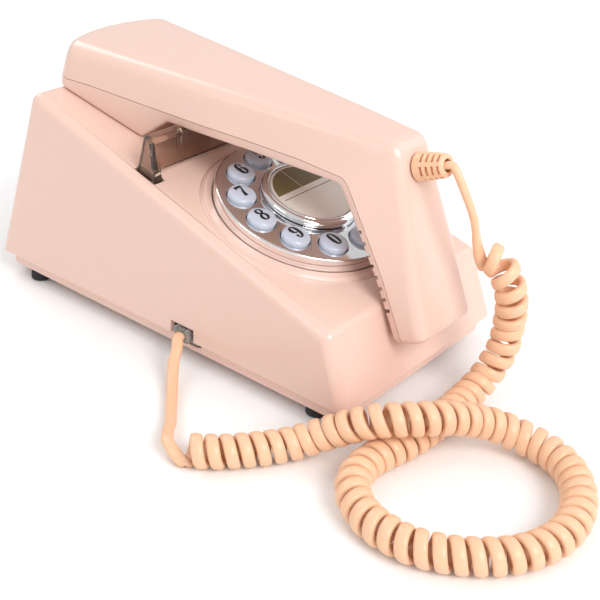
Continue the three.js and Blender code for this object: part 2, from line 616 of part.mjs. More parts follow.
// ---- cord -----------------------------------------------------------------------------------
function cordTube(route, diameter, sides, step) {
  const path = new THREE.CatmullRomCurve3(route.map((point) => new THREE.Vector3(...point)));
  const section = new THREE.Shape();
  for (let i = 0; i < sides; i += 1) {
    const a = (i * 2 * Math.PI) / sides;
    const x = (diameter / 2) * Math.cos(a);
    const y = (diameter / 2) * Math.sin(a);
    if (i === 0) section.moveTo(x, y);
    else section.lineTo(x, y);
  }
  const steps = Math.round(path.getLength() / step);
  return new THREE.ExtrudeGeometry(section, { steps, extrudePath: path, bevelEnabled: false });
}

function addCord() {
  addPiece(phone, 'cord_lead_handset', cordTube(HANDSET_LEAD, LEAD_DIAMETER, 8, 5), PEACH);
  addPiece(phone, 'curly_cord', cordTube(COIL_ROUTE, COIL_DIAMETER, 12, 8), PEACH);
  addPiece(phone, 'cord_lead_base', cordTube(BASE_LEAD, LEAD_DIAMETER, 8, 6), PEACH);
}

addBase();
addDial();
addCradle();
addHandset();
addCord();

export default phone;
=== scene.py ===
# Looks of a wedge-shaped desk telephone: glossy blush-pink mouldings, a mirror-faced push-button
# dial, a smoked cradle and a curly peach cord. Metres, +Z up, -Y towards the front.
import json
import math

import bmesh
import bpy
import numpy as np
from mathutils import Matrix, Vector


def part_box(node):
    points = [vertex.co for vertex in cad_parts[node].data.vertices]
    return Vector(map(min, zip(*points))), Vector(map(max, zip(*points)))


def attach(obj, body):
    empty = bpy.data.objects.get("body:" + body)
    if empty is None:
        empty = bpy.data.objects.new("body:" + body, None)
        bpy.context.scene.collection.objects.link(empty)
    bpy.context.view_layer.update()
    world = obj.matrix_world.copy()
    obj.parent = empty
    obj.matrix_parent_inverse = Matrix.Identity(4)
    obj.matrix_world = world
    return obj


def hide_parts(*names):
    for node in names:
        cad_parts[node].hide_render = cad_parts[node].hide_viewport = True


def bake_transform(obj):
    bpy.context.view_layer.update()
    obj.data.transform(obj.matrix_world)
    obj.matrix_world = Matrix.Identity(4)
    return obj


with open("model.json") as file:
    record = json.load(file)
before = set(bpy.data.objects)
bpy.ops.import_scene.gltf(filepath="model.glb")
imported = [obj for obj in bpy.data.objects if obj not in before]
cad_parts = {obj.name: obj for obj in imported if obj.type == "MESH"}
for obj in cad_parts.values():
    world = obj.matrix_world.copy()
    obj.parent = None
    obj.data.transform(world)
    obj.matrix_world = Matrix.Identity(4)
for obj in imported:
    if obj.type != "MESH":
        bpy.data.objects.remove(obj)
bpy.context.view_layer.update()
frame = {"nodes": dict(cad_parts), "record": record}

MM = 0.001


def at_mm(x, y, z=0.0):
    return Matrix.Translation(Vector((x, y, z)) * MM)


# ---- places shared with the frame
JOINTS = {joint["name"]: joint for joint in frame["record"]["behaviour"]["joints"]}
OFF_SLOPE = Vector(JOINTS["cradle_rise"]["axis"])
TILT = math.atan2(-OFF_SLOPE.y, OFF_SLOPE.z)
CREASE = Vector((0, -88.3, 40.3)) * MM  # where the front face meets the slope
# The slope's own frame: x across, s up the slope and h off it, in that order.
SLOPE = Matrix.Translation(CREASE) @ Matrix.Rotation(TILT, 4, "X")
LABEL_LOW, LABEL_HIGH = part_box("centre_label")
DIAL_S = (SLOPE.inverted() @ ((LABEL_LOW + LABEL_HIGH) / 2)).y / MM
DIAL = SLOPE @ at_mm(0, DIAL_S)
# Round the dial from its +X side, anticlockwise.
KEY_NAMES = ["2", "3", "4", "5", "6", "7", "8", "9", "0", "star", "hash", "1"]


# ---- camera
CAMERA_TURN, CAMERA_RISE, CAMERA_ROLL = -50.6, 29.16, 1.37  # degrees
CAMERA_TARGET, CAMERA_AWAY = Vector((0, -30.8, 11.6)) * MM, 0.4814
CAMERA_LENS, CAMERA_SHIFT = 66.65, (0.0097, 0.0071)


def make_camera():
    angles = (CAMERA_TURN, CAMERA_RISE, CAMERA_ROLL)
    azimuth, elevation, roll = (math.radians(a) for a in angles)
    back = Vector((math.sin(azimuth) * math.cos(elevation),
                   -math.cos(azimuth) * math.cos(elevation), math.sin(elevation)))
    level = Vector((math.cos(azimuth), math.sin(azimuth), 0))
    up = back.cross(level)
    right = level * math.cos(roll) + up * math.sin(roll)
    data = bpy.data.cameras.new("camera")
    data.lens = CAMERA_LENS
    data.shift_x, data.shift_y = CAMERA_SHIFT
    data.clip_start, data.clip_end = 0.01, 20
    camera = bpy.data.objects.new("camera", data)
    turn = Matrix((right, back.cross(right), back)).transposed()
    camera.matrix_world = Matrix.Translation(CAMERA_TARGET + back * CAMERA_AWAY) @ turn.to_4x4()
    bpy.context.scene.collection.objects.link(camera)
    bpy.context.scene.camera = camera


make_camera()


# ---- node materials
class Recipe:
    """A Principled material whose colour, roughness and bump come from procedural nodes."""

    def __init__(self, name, **sockets):
        self.material = bpy.data.materials.new(name)
        self.material.use_nodes = True
        self.tree = self.material.node_tree
        self.shader = self.tree.nodes["Principled BSDF"]
        for socket, value in sockets.items():
            self.shader.inputs[socket.replace("_", " ")].default_value = value
        coordinates = self.tree.nodes.new("ShaderNodeTexCoord")
        self.place = coordinates.outputs["Object"]

    def link(self, source, target):
        self.tree.links.new(source, target)

    def noise(self, scale, detail=3.0, stretch=None):
        node = self.tree.nodes.new("ShaderNodeTexNoise")
        node.inputs["Scale"].default_value = scale
        node.inputs["Detail"].default_value = detail
        source = self.place
        if stretch is not None:
            mapping = self.tree.nodes.new("ShaderNodeMapping")
            mapping.inputs["Scale"].default_value = stretch
            self.link(self.place, mapping.inputs["Vector"])
            source = mapping.outputs["Vector"]
        self.link(source, node.inputs["Vector"])
        return node.outputs["Fac"]

    def ramp(self, source, low, high, stops):
        node = self.tree.nodes.new("ShaderNodeValToRGB")
        for element, place, value in zip(node.color_ramp.elements, stops, (low, high)):
            element.position = place
            element.color = (*value, 1) if isinstance(value, tuple) else (value, value, value, 1)
        self.link(source, node.inputs["Fac"])
        return node.outputs["Color"]

    def colour(self, source, low, high, stops=(0.35, 0.65)):
        self.link(self.ramp(source, low, high, stops), self.shader.inputs["Base Color"])

    def roughness(self, source, low, high, stops=(0.35, 0.65)):
        self.link(self.ramp(source, low, high, stops), self.shader.inputs["Roughness"])

    def bump(self, source, depth):
        node = self.tree.nodes.new("ShaderNodeBump")
        node.inputs["Strength"].default_value = 0.15
        node.inputs["Distance"].default_value = depth
        self.link(source, node.inputs["Height"])
        self.link(node.outputs["Normal"], self.shader.inputs["Normal"])


def moulded(name, tone, gloss, spread=0.008, orange_peel=0.00001, **sockets):
    """Moulded plastic: a faint flow-mark mottle, uneven gloss and a very fine orange peel."""
    recipe = Recipe(name, **sockets)
    low = tuple(max(c * (1 - spread), 0) for c in tone)
    high = tuple(min(c * (1 + spread), 1) for c in tone)
    recipe.colour(recipe.noise(9, 1), low, high, (0.2, 0.8))
    recipe.roughness(recipe.noise(30, 2), gloss * 0.92, gloss * 1.08, (0.2, 0.8))
    if orange_peel > 0:
        recipe.bump(recipe.noise(500, 1), orange_peel)
    return recipe.material


def turned_metal(name, tone, gloss, wear=0.04):
    """Plated or plain metal with fine polishing streaks and a slightly uneven shine."""
    recipe = Recipe(name, Metallic=1.0)
    low = tuple(c * (1 - wear) for c in tone)
    recipe.colour(recipe.noise(40, 4), low, tone)
    recipe.roughness(recipe.noise(220, 6, stretch=(1, 6, 1)), gloss * 0.6, gloss * 1.5)
    recipe.bump(recipe.noise(1200, 2), 0.000004)
    return recipe.material


PINK = moulded("pink_abs", (0.80, 0.555, 0.468), 0.24, IOR=1.5, Coat_Weight=0.25,
               Coat_Roughness=0.12, Subsurface_Weight=0.06, Subsurface_Scale=0.002)
PEACH = moulded("peach_vinyl", (0.86, 0.53, 0.335), 0.32, spread=0.02, IOR=1.48,
                Subsurface_Weight=0.12, Subsurface_Scale=0.002)
KEY = moulded("key_plastic", (0.52, 0.55, 0.64), 0.14, orange_peel=0, IOR=1.5, Coat_Weight=0.5,
              Coat_Roughness=0.05, Subsurface_Weight=0.1, Subsurface_Scale=0.001)
INK = moulded("key_ink", (0.012, 0.012, 0.014), 0.35)
BLACK_RUBBER = moulded("foot_rubber", (0.02, 0.02, 0.022), 0.75, orange_peel=0.00006)
DARK_PLASTIC = moulded("dark_plastic", (0.035, 0.032, 0.032), 0.45)
SILICONE = moulded("grey_silicone", (0.12, 0.12, 0.13), 0.6)
JACK_GREY = moulded("jack_grey", (0.42, 0.36, 0.32), 0.4)
BOARD = moulded("board_green", (0.03, 0.14, 0.06), 0.4, spread=0.15)
GOLD = turned_metal("contact_gold", (0.83, 0.62, 0.27), 0.25)
STEEL = turned_metal("zinc_steel", (0.56, 0.57, 0.58), 0.3)
CHROME = turned_metal("chrome", (0.86, 0.86, 0.87), 0.05, wear=0.02)
LABEL = moulded("label_silver", (0.80, 0.745, 0.68), 0.3, spread=0.02, Metallic=0.15)
OLIVE = moulded("label_olive", (0.165, 0.125, 0.045), 0.35, spread=0.08)
SMOKE = moulded("smoked_acrylic", (0.58, 0.42, 0.32), 0.04, spread=0.03, orange_peel=0,
                IOR=1.49, Transmission_Weight=0.96)
CLEAR = moulded("clear_plug", (0.72, 0.69, 0.65), 0.08, orange_peel=0, IOR=1.5,
                Transmission_Weight=0.7)


# ---- mesh helpers
def shade(obj, degrees, weighted=False):
    obj.data.shade_smooth()
    obj.data.set_sharp_from_angle(angle=math.radians(degrees))
    if weighted:
        modifier = obj.modifiers.new("weighted", "WEIGHTED_NORMAL")
        modifier.keep_sharp = True
        modifier.weight = 80
    return obj


def shown(name, mesh, material, degrees=38):
    """A mesh as a named object in the scene."""
    obj = bpy.data.objects.new(name, mesh)
    bpy.context.scene.collection.objects.link(obj)
    if material is not None:
        mesh.materials.append(material)
    return shade(obj, degrees)


def piece(name, vertices, faces, material, degrees=38):
    mesh = bpy.data.meshes.new(name)
    mesh.from_pydata([tuple(v) for v in vertices], [], [tuple(f) for f in faces])
    mesh.validate()
    return shown(name, mesh, material, degrees)


def tidy_normals(obj):
    work = bmesh.new()
    work.from_mesh(obj.data)
    bmesh.ops.remove_doubles(work, verts=work.verts, dist=1e-7)
    bmesh.ops.recalc_face_normals(work, faces=work.faces)
    work.to_mesh(obj.data)
    work.free()
    return obj


def moved(obj, matrix):
    obj.data.transform(matrix)
    obj.data.update()
    return obj


def merged(obj, other, mode):
    """Joins or cuts obj with other, which is used up."""
    modifier = obj.modifiers.new("merge", "BOOLEAN")
    modifier.operation = mode
    modifier.solver = "EXACT"
    modifier.object = other
    bpy.context.view_layer.update()
    graph = bpy.context.evaluated_depsgraph_get()
    result = bpy.data.meshes.new_from_object(obj.evaluated_get(graph))
    obj.modifiers.remove(modifier)
    old = obj.data
    obj.data = result
    bpy.data.meshes.remove(old)
    spent = other.data
    bpy.data.objects.remove(other)
    bpy.data.meshes.remove(spent)
    return obj


def cut(obj, other):
    return merged(obj, other, "DIFFERENCE")


def join(obj, other):
    return merged(obj, other, "UNION")


def arc(cx, cz, radius, start, end, count):
    """Points of an arc in a profile, its angles in degrees."""
    angles = np.radians(np.linspace(start, end, count))
    return [(cx + radius * math.cos(a), cz + radius * math.sin(a)) for a in angles]


def turned(name, profile, segments, material, degrees=38, closed=False):
    """A turned body about Z in mm; profile lists (radius, height), from axis to axis or closed."""
    vertices, rings = [], []
    for radius, height in profile:
        if radius < 1e-6:
            rings.append([len(vertices)] * segments)
            vertices.append((0, 0, height * MM))
            continue
        rings.append(list(range(len(vertices), len(vertices) + segments)))
        for k in range(segments):
            a = 2 * math.pi * k / segments
            vertices.append((radius * MM * math.cos(a), radius * MM * math.sin(a), height * MM))
    faces = []
    pairs = list(zip(rings, rings[1:])) + ([(rings[-1], rings[0])] if closed else [])
    for low, high in pairs:
        for k in range(segments):
            n = (k + 1) % segments
            corners = list(dict.fromkeys([low[k], low[n], high[n], high[k]]))
            if len(corners) > 2:
                faces.append(corners)
    return tidy_normals(piece(name, vertices, faces, material, degrees))


def rounded_block(name, low, high, radius, material, segments=3):
    """A block in mm with all its edges rounded."""
    work = bmesh.new()
    bmesh.ops.create_cube(work, size=1)
    size = Vector(high) - Vector(low)
    centre = (Vector(high) + Vector(low)) / 2
    for vertex in work.verts:
        vertex.co = Vector([v * s for v, s in zip(vertex.co, size)]) + centre
        vertex.co *= MM
    if radius > 0:
        bmesh.ops.bevel(work, geom=work.edges[:], offset=radius * MM, segments=segments,
                        profile=0.5, affect="EDGES", clamp_overlap=True)
    mesh = bpy.data.meshes.new(name)
    work.to_mesh(mesh)
    work.free()
    return shown(name, mesh, material)


def prism(name, outline, low, high, material, axis="X"):
    """A closed outline in mm carried along an axis: (y, z) along X, or (x, y) along Z."""
    count = len(outline)
    vertices = []
    for level in (low, high):
        for a, b in outline:
            point = (level, a, b) if axis == "X" else (a, b, level)
            vertices.append(Vector(point) * MM)
    faces = [[k, (k + 1) % count, count + (k + 1) % count, count + k] for k in range(count)]
    faces += [list(range(count))[::-1], list(range(count, 2 * count))]
    return tidy_normals(piece(name, vertices, faces, material))


def catmull(points, per_span):
    """A smooth line through the points."""
    p = np.array(points, float)
    p = np.vstack([2 * p[0] - p[1], p, 2 * p[-1] - p[-2]])
    line = []
    for a, b, c, d in zip(p, p[1:], p[2:], p[3:]):
        for t in np.linspace(0, 1, per_span, endpoint=False):
            line.append(0.5 * (2 * b + (c - a) * t + (2 * a - 5 * b + 4 * c - d) * t * t
                               + (3 * b - a - 3 * c + d) * t ** 3))
    line.append(p[-2])
    return np.array(line)


def even(line, step):
    """The same line with evenly spaced points, and its length."""
    runs = np.concatenate([[0], np.cumsum(np.linalg.norm(np.diff(line, axis=0), axis=1))])
    places = np.linspace(0, runs[-1], max(int(round(runs[-1] / step)), 2) + 1)
    return np.column_stack([np.interp(places, runs, line[:, k]) for k in range(3)]), runs[-1]


def unit(vectors):
    return vectors / np.linalg.norm(vectors, axis=-1, keepdims=True)


def carried_frames(line, first):
    """Tangents and untwisted side directions along a line."""
    tangents = unit(np.gradient(line, axis=0))
    sides = []
    side = np.array(first, float)
    for tangent in tangents:
        side = side - tangent * side.dot(tangent)
        side = side / np.linalg.norm(side)
        sides.append(side)
    return tangents, np.array(sides)


CORD_SQUARENESS = 0.72  # 1 is an ellipse, less is nearer a rounded rectangle


def swept(name, line, width_axes, width, thickness, material, corners=12):
    """A flat cord with round edges along a line; width_axes point across its width."""
    tangents = unit(np.gradient(line, axis=0))
    across = unit(width_axes - tangents * np.sum(width_axes * tangents, axis=1, keepdims=True))
    out = np.cross(tangents, across)
    vertices, faces = [], []
    for k in range(corners):
        a = 2 * math.pi * k / corners
        u = math.copysign(abs(math.cos(a)) ** CORD_SQUARENESS, math.cos(a)) * width / 2
        v = math.copysign(abs(math.sin(a)) ** CORD_SQUARENESS, math.sin(a)) * thickness / 2
        vertices.append(line + across * u + out * v)
    vertices = np.stack(vertices, axis=1).reshape(-1, 3)
    count = len(line)
    for i in range(count - 1):
        for k in range(corners):
            n = (k + 1) % corners
            faces.append([i * corners + k, i * corners + n, (i + 1) * corners + n,
                          (i + 1) * corners + k])
    faces.append(list(range(corners))[::-1])
    faces.append([(count - 1) * corners + k for k in range(corners)])
    return tidy_normals(piece(name, vertices, faces, material, 60))


# ---- handset cord
CORD_WIDTH, CORD_THICKNESS = 4.7 * MM, 3.1 * MM
COIL_RADIUS = 4.9 * MM  # of the wire's centre line round the coil's axis
COIL_PITCH = 5.25 * MM

HANDSET_LEAD = [
    (0, -99.4, 94.9), (0, -102, 95.8), (0, -103.8, 95.7), (0, -106.2, 92.4), (0.3, -108.6, 88),
    (1.6, -110.8, 82.4), (3.4, -112.4, 76.2), (4.4, -112.9, 71.9), (5.3, -113.3, 67.6),
    (6.4, -113.8, 63.3), (7.5, -114.6, 59.2), (8.9, -115.7, 55.4),
]
COIL_ROUTE = [
    (10.5, -116.1, 60.3), (10.4, -117.9, 59.9), (10.5, -119.9, 59.0), (10.9, -122.2, 56.9),
    (11.1, -124.3, 54.0), (11.6, -125.9, 50.4), (12.1, -126.9, 46.2), (12.8, -127.3, 40.2),
    (13.9, -126.4, 32.6), (12.5, -126.4, 25.2), (9.8, -125.2, 18.2), (4.4, -123, 10.6),
    (-5.3, -121.9, 7), (-16.8, -122.4, 6.6), (-27.7, -122.9, 6.6), (-37.2, -122.7, 6.6),
    (-45.5, -121.7, 6.6), (-54.7, -119.5, 6.6), (-63.7, -118.2, 6.6), (-72.9, -119.8, 6.6),
    (-80.3, -124.6, 6.6), (-85.4, -131.5, 6.6), (-88.4, -138.7, 6.6), (-89.3, -146.6, 6.6),
    (-89, -154.2, 6.6), (-86.4, -162.1, 6.6), (-82.5, -169.3, 6.6), (-76.8, -176.5, 6.6),
    (-70.5, -182.1, 6.6), (-62.3, -186.5, 6.6), (-52, -188.8, 6.6), (-41.2, -187.8, 6.6),
    (-31.2, -183.9, 6.6), (-22.3, -177.2, 6.6), (-16.7, -168.9, 6.6), (-14.4, -159.9, 6.9),
    (-15.3, -151.7, 8.2), (-18.9, -145.1, 10.8), (-24.8, -139.9, 14), (-32.2, -135.7, 17.2),
    (-39.5, -131.7, 19.4), (-46, -127.4, 20.4), (-51.3, -122.5, 20.6), (-55.7, -117.1, 20),
    (-59, -110.9, 17.4), (-61.9, -104.2, 13.4), (-65.7, -98.1, 9.8), (-70.6, -93.1, 7.4),
    (-76.6, -88.7, 6.6), (-82.7, -84.4, 6.6), (-88.3, -79.8, 6.6), (-93.5, -74.9, 6.6),
    (-97.8, -69.6, 6.6), (-101, -64.8, 6.6),
]
BASE_LEAD = [
    (-50.5, -14.5, 12.3), (-54.1, -14.8, 12.9), (-56.2, -16.1, 12.4), (-58.4, -18, 11),
    (-62.8, -20.5, 7.6), (-68.6, -25.5, 4.5), (-75.8, -32.4, 3.1), (-83.5, -39.8, 2.9),
    (-90, -46.2, 3.8), (-95.6, -50.6, 5), (-100, -54.8, 6),
]
COIL_START = math.radians(342)  # the wire's place round the coil at its handset end
TURN_POINTS = 22
END_POINTS = 6  # taken off each end of the coil, where the leads run in
FAN, FAN_REACH = 0.2, 9 * MM  # how far the first turns stand open, and over what length
LEAD_STEP = 1.5 * MM
LEAD_START_ACROSS = np.array([0.69, 0.66, -0.3])
LEAD_END_ACROSS = np.array([-0.5, 0.85, 0.1])


def coil_turns():
    """The helix's centre line and the directions of the coil's axis, one row per point."""
    axis, _ = even(catmull(COIL_ROUTE, 16) * MM, 0.5 * MM)
    tangents, sides = carried_frames(axis, (1, 0, 0))
    others = np.cross(tangents, sides)
    steps = np.linalg.norm(np.diff(axis, axis=0), axis=1)
    bends = np.linalg.norm(np.diff(tangents, axis=0), axis=1) / steps
    reach = 20
    bends = np.convolve(np.pad(bends, reach, mode="edge"),
                        np.ones(2 * reach + 1) / (2 * reach + 1), "valid")
    pitches = COIL_PITCH * (1 + 0.75 * COIL_RADIUS * bends)
    pitches = pitches * (1 + FAN * np.exp(-np.cumsum(steps) / FAN_REACH))
    phase = np.concatenate([[0], np.cumsum(2 * math.pi * steps / pitches)])
    count = int(phase[-1] / (2 * math.pi) * TURN_POINTS)
    wanted = np.linspace(0, phase[-1], count)
    places = np.interp(wanted, phase, np.arange(len(axis)))

    def along(values):
        return np.column_stack([np.interp(places, np.arange(len(axis)), values[:, k])
                                for k in range(3)])

    turn = wanted[:, None] + COIL_START
    radial = unit(along(sides)) * np.cos(turn) + unit(along(others)) * np.sin(turn)
    return along(axis) + radial * COIL_RADIUS, along(tangents)


def cord_line():
    """The whole wire's centre line and the directions across its width."""
    helix, axes = coil_turns()
    body, axes = helix[END_POINTS:-END_POINTS], axes[END_POINTS:-END_POINTS]
    first, _ = even(catmull(HANDSET_LEAD, 8) * MM, LEAD_STEP)
    last, _ = even(catmull(BASE_LEAD, 8)[::-1] * MM, LEAD_STEP)
    first = np.vstack([first, eased(first, body)])
    last = np.vstack([eased(last[::-1], body[::-1])[::-1], last])
    across = np.vstack([blend_rows(LEAD_START_ACROSS, axes[0], len(first)), axes,
                        blend_rows(axes[-1], LEAD_END_ACROSS, len(last))])
    return np.vstack([first, body, last]), across


def handset_cord():
    line, across = cord_line()
    cord = swept("handset_cord", line, across, CORD_WIDTH, CORD_THICKNESS, PEACH)
    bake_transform(cord)
    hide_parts("cord_lead_handset", "curly_cord", "cord_lead_base")


def eased(first, second):
    """Points that lead smoothly from the end of one line to the start of the next."""
    a, b = first[-1], second[0]
    reach = np.linalg.norm(b - a)
    start = unit(first[-1] - first[-2]) * reach
    end = unit(second[1] - second[0]) * reach
    points = []
    for t in np.linspace(0, 1, max(int(reach / (1.2 * MM)), 4) + 1)[1:-1]:
        points.append((2 * t ** 3 - 3 * t ** 2 + 1) * a + (t ** 3 - 2 * t ** 2 + t) * start
                      + (3 * t ** 2 - 2 * t ** 3) * b + (t ** 3 - t ** 2) * end)
    return np.array(points)


def blend_rows(a, b, count):
    """Directions that turn from a to b, slowly at first."""
    t = np.linspace(0, 1, count)[:, None] ** 2
    return unit(a * (1 - t) + b * t)


handset_cord()


# ---- handset
HANDSET_WALL = 2.5
SEAM_GAP = 0.3
BEND_OUTER, BEND_INNER = (21.5, 57.6), (34.4, 34.5)
MOUTH_OUTER, MOUTH_INNER = (-22.3, -4.2), (-11.4, -10.8)
MOUTH_MID_INNER = (6.3, 8.5)
END_ARC, END_CROWN = 58.0, 184.0
WIDTH_AT = [54, 77, 100, 116, 127, 150, 175.5, 190]
WIDTH_INNER = [19.2, 21.1, 24, 25.6, 26.8, 29.8, 32.8, 34.4]
WIDTH_SEAM = [19.7, 21.9, 24.9, 26.4, 27.6, 29.5, 32.2, 33.8]
BAR_START, WEDGE_FRONT, WEDGE_REAR = 54, 116, 127  # stations up the slope
REST_GAP, BELOW_SEAM = 0.3, 4.6


def top_line(s):
    return 19.3 + 0.249 * (175.5 - s)


def seam_line(s):
    return 4 + 0.245 * (175.5 - s)


def underside(s):
    """Height of the underside: a deep wedge at the earpiece, then parallel to the seam."""
    if s <= WEDGE_FRONT:
        return seam_line(s) - BELOW_SEAM
    front_height = seam_line(WEDGE_FRONT) - BELOW_SEAM
    share = max(WEDGE_REAR - s, 0) / (WEDGE_REAR - WEDGE_FRONT)
    return REST_GAP + share * (front_height - REST_GAP)


def mix(a, b, t):
    return tuple(x + (y - x) * t for x, y in zip(a, b))


def bar_section(s):
    low = underside(s)
    return dict(inner=(s, low), outer=(s, top_line(s)), wi=np.interp(s, WIDTH_AT, WIDTH_INNER),
                ws=np.interp(s, WIDTH_AT, WIDTH_SEAM), wo=9.4 + 0.127 * (s - 18),
                seam=seam_line(s) - low, corner=np.interp(s, [BAR_START, 190], [3.6, 6]))


MOUTH_T = [0, 0.28, 0.62, 1]
MOUTH_INNERS = [BEND_INNER, mix(BEND_INNER, MOUTH_MID_INNER, 0.45), MOUTH_MID_INNER, MOUTH_INNER]


def mouth_section(t):
    inner = tuple(np.interp(t, MOUTH_T, [p[k] for p in MOUTH_INNERS]) for k in (0, 1))
    wi = np.interp(t, MOUTH_T, [18, 18.2, 18.4, 18.6])
    return dict(inner=inner, outer=mix(BEND_OUTER, MOUTH_OUTER, t), wi=wi, ws=wi + 0.4,
                wo=np.interp(t, MOUTH_T, [9, 12, 15.2, 17.8]), seam=4.0, corner=3.6)


def bend_sections():
    """Sections round the bend, with both corners rounded."""
    before, corner, after = bar_section(BAR_START), mouth_section(0), mouth_section(0.075)
    near = dict(before)
    share = 1 - 5 / (BAR_START - BEND_OUTER[0])
    sizes = ("wi", "ws", "wo", "seam", "corner")
    for key in sizes:
        near[key] = before[key] + (corner[key] - before[key]) * share
    near["inner"] = mix(before["inner"], corner["inner"], 0.9)
    near["outer"] = mix(before["outer"], corner["outer"], share)
    sections = []
    for t in np.linspace(0, 1, 7):
        row = {key: near[key] + (after[key] - near[key]) * t for key in sizes}
        for key in ("inner", "outer"):
            row[key] = mix(mix(near[key], corner[key], t), mix(corner[key], after[key], t), t)
        sections.append(row)
    return sections


def section_ring(section, inset, lift_in, lift_out, seam_shift):
    """One cross-section as (x, height) pairs, from the inner middle round the +X side."""
    inner, outer = np.array(section["inner"]), np.array(section["outer"])
    depth = float(np.linalg.norm(outer - inner))
    low, high = inset + lift_in, depth - inset - lift_out
    side = inset + lift_out
    seam = min(max(section["seam"] + seam_shift, low + 0.5), high - 0.5)

    def width(v):
        if v < section["seam"]:
            return np.interp(v, [0, section["seam"]], [section["wi"], section["ws"]]) - side
        return np.interp(v, [section["seam"], depth], [section["ws"], section["wo"]]) - side

    r_in = max(1.4 - inset, 0.35)
    r_out = min(max(section["corner"] - inset, 0.8), (high - seam) * 0.8)
    half = [((width(low) - r_in) * f / 0.85, low) for f in (0, 0.3, 0.6, 0.82)]
    for a in np.radians(np.linspace(90, 0, 5)):
        v = low + r_in * (1 - math.sin(a))
        half.append((width(v) - r_in * (1 - math.cos(a)), v))
    start = low + r_in
    half += [(width(start + (seam - start) * f), start + (seam - start) * f) for f in (0.33, 0.67)]
    half.append((width(seam), seam))
    end = high - r_out
    half += [(width(seam + (end - seam) * f), seam + (end - seam) * f) for f in (0.25, 0.5, 0.75)]
    for a in np.radians(np.linspace(0, 90, 9)):
        v = high - r_out * (1 - math.sin(a))
        half.append((width(v) - r_out * (1 - math.cos(a)), v))
    half += [((width(high) - r_out) * f, high) for f in (0.8, 0.4, 0)]
    return half


SEAM_INDEX = 4 + 5 + 2  # place of the seam in a half ring
EAR_STATION = 172
BAR_STOPS = [158, 152, 146, 140, 134, 130, 128, 127, 126.2, 124, 121, 118, 116.6, 116, 115, 112,
             106, 100, 92, 84, 77, 69, 61, BAR_START]
MOUTH_STOPS = [0.12, 0.2, 0.28, 0.37, 0.46, 0.54, 0.62, 0.7, 0.78, 0.86, 0.92]
CAP_STEPS = 10  # across each end of a shell


def placed(section, half, s_shift=None):
    """A half ring's points on the slope: (x, s, h)."""
    inner, outer = np.array(section["inner"]), np.array(section["outer"])
    depth = np.linalg.norm(outer - inner)
    points = []
    for x, v in half:
        s, h = inner + (outer - inner) * (v / depth)
        if s_shift is not None:
            moved_s = s_shift(x)
            low = underside(moved_s)
            h = low + (top_line(moved_s) - low) * (v / depth)
            s = moved_s
        points.append((x, s, h))
    return points


def rear_edge(x, inset):
    return END_CROWN - END_ARC + math.sqrt((END_ARC - inset) ** 2 - x * x)


def rear_rings(inset, seam_shift):
    """Half rings of the earpiece's end, which is an arc seen from above and rounded over."""
    rings = []
    end_round = max(4.5 - inset, 1.0)
    for a in np.radians(np.linspace(90, 0, 8)):
        lift, back = end_round * (1 - math.cos(a)), end_round * (1 - math.sin(a))
        section = bar_section(EAR_STATION)
        half = section_ring(section, inset, lift * 0.35, lift, seam_shift)
        rings.append(placed(section, half, lambda x: rear_edge(x, inset) - back))
    first, run = BAR_STOPS[0], EAR_STATION - BAR_STOPS[0]
    for share in (0.75, 0.5, 0.25):
        section = bar_section(first + run * share)
        half = section_ring(section, inset, 0, 0, seam_shift)
        rings.append(placed(section, half,
                            lambda x: first + (rear_edge(x, inset) - end_round - first) * share))
    return rings


def handset_grid(inset, seam_shift):
    """Half rings from the middle of the earpiece's end to the middle of the mouthpiece's end."""
    rings = rear_rings(inset, seam_shift)
    length = math.dist(BEND_OUTER, MOUTH_OUTER)
    end_round = max(2.6 - inset, 0.6)
    last = 1 - (inset + end_round) / length
    sections = [bar_section(s) for s in BAR_STOPS] + bend_sections()
    sections += [mouth_section(t) for t in MOUTH_STOPS + [last]]
    for section in sections:
        rings.append(placed(section, section_ring(section, inset, 0, 0, seam_shift)))
    for a in np.radians(np.linspace(15, 90, 6)):
        lift = end_round * (1 - math.cos(a))
        section = mouth_section(1 - (inset + end_round * (1 - math.sin(a))) / length)
        rings.append(placed(section, section_ring(section, inset, lift, lift, seam_shift)))
    return rings


def shell_points(grids, columns):
    """A shell's points and their numbers: both skins, both sides and across the two ends."""
    vertices, index = [], {}

    def add(key, x, s, h):
        index[key] = len(vertices)
        vertices.append(Vector((x, s, h)) * MM)

    for g, rings in enumerate(grids):
        for i, ring in enumerate(rings):
            for j in columns:
                x, s, h = ring[j]
                add((g, i, j, 1), x, s, h)
                if abs(x) < 1e-9:
                    index[g, i, j, -1] = index[g, i, j, 1]
                else:
                    add((g, i, j, -1), -x, s, h)
        for i in (0, len(rings) - 1):
            for j in columns:
                x, s, h = rings[i][j]
                for k in range(CAP_STEPS + 1):
                    f = 1 - 2 * k / CAP_STEPS
                    if k in (0, CAP_STEPS) or abs(x) < 1e-9:
                        index[g, i, j, "cap", k] = index[g, i, j, 1 if f > 0 else -1]
                        continue
                    back, up = s, h
                    if i == 0:
                        back = rear_edge(x * f, HANDSET_WALL if g else 0)
                        up = h * (top_line(back) / top_line(s)) if h > 1 else h
                    add((g, i, j, "cap", k), x * f, back, up)
    return vertices, index


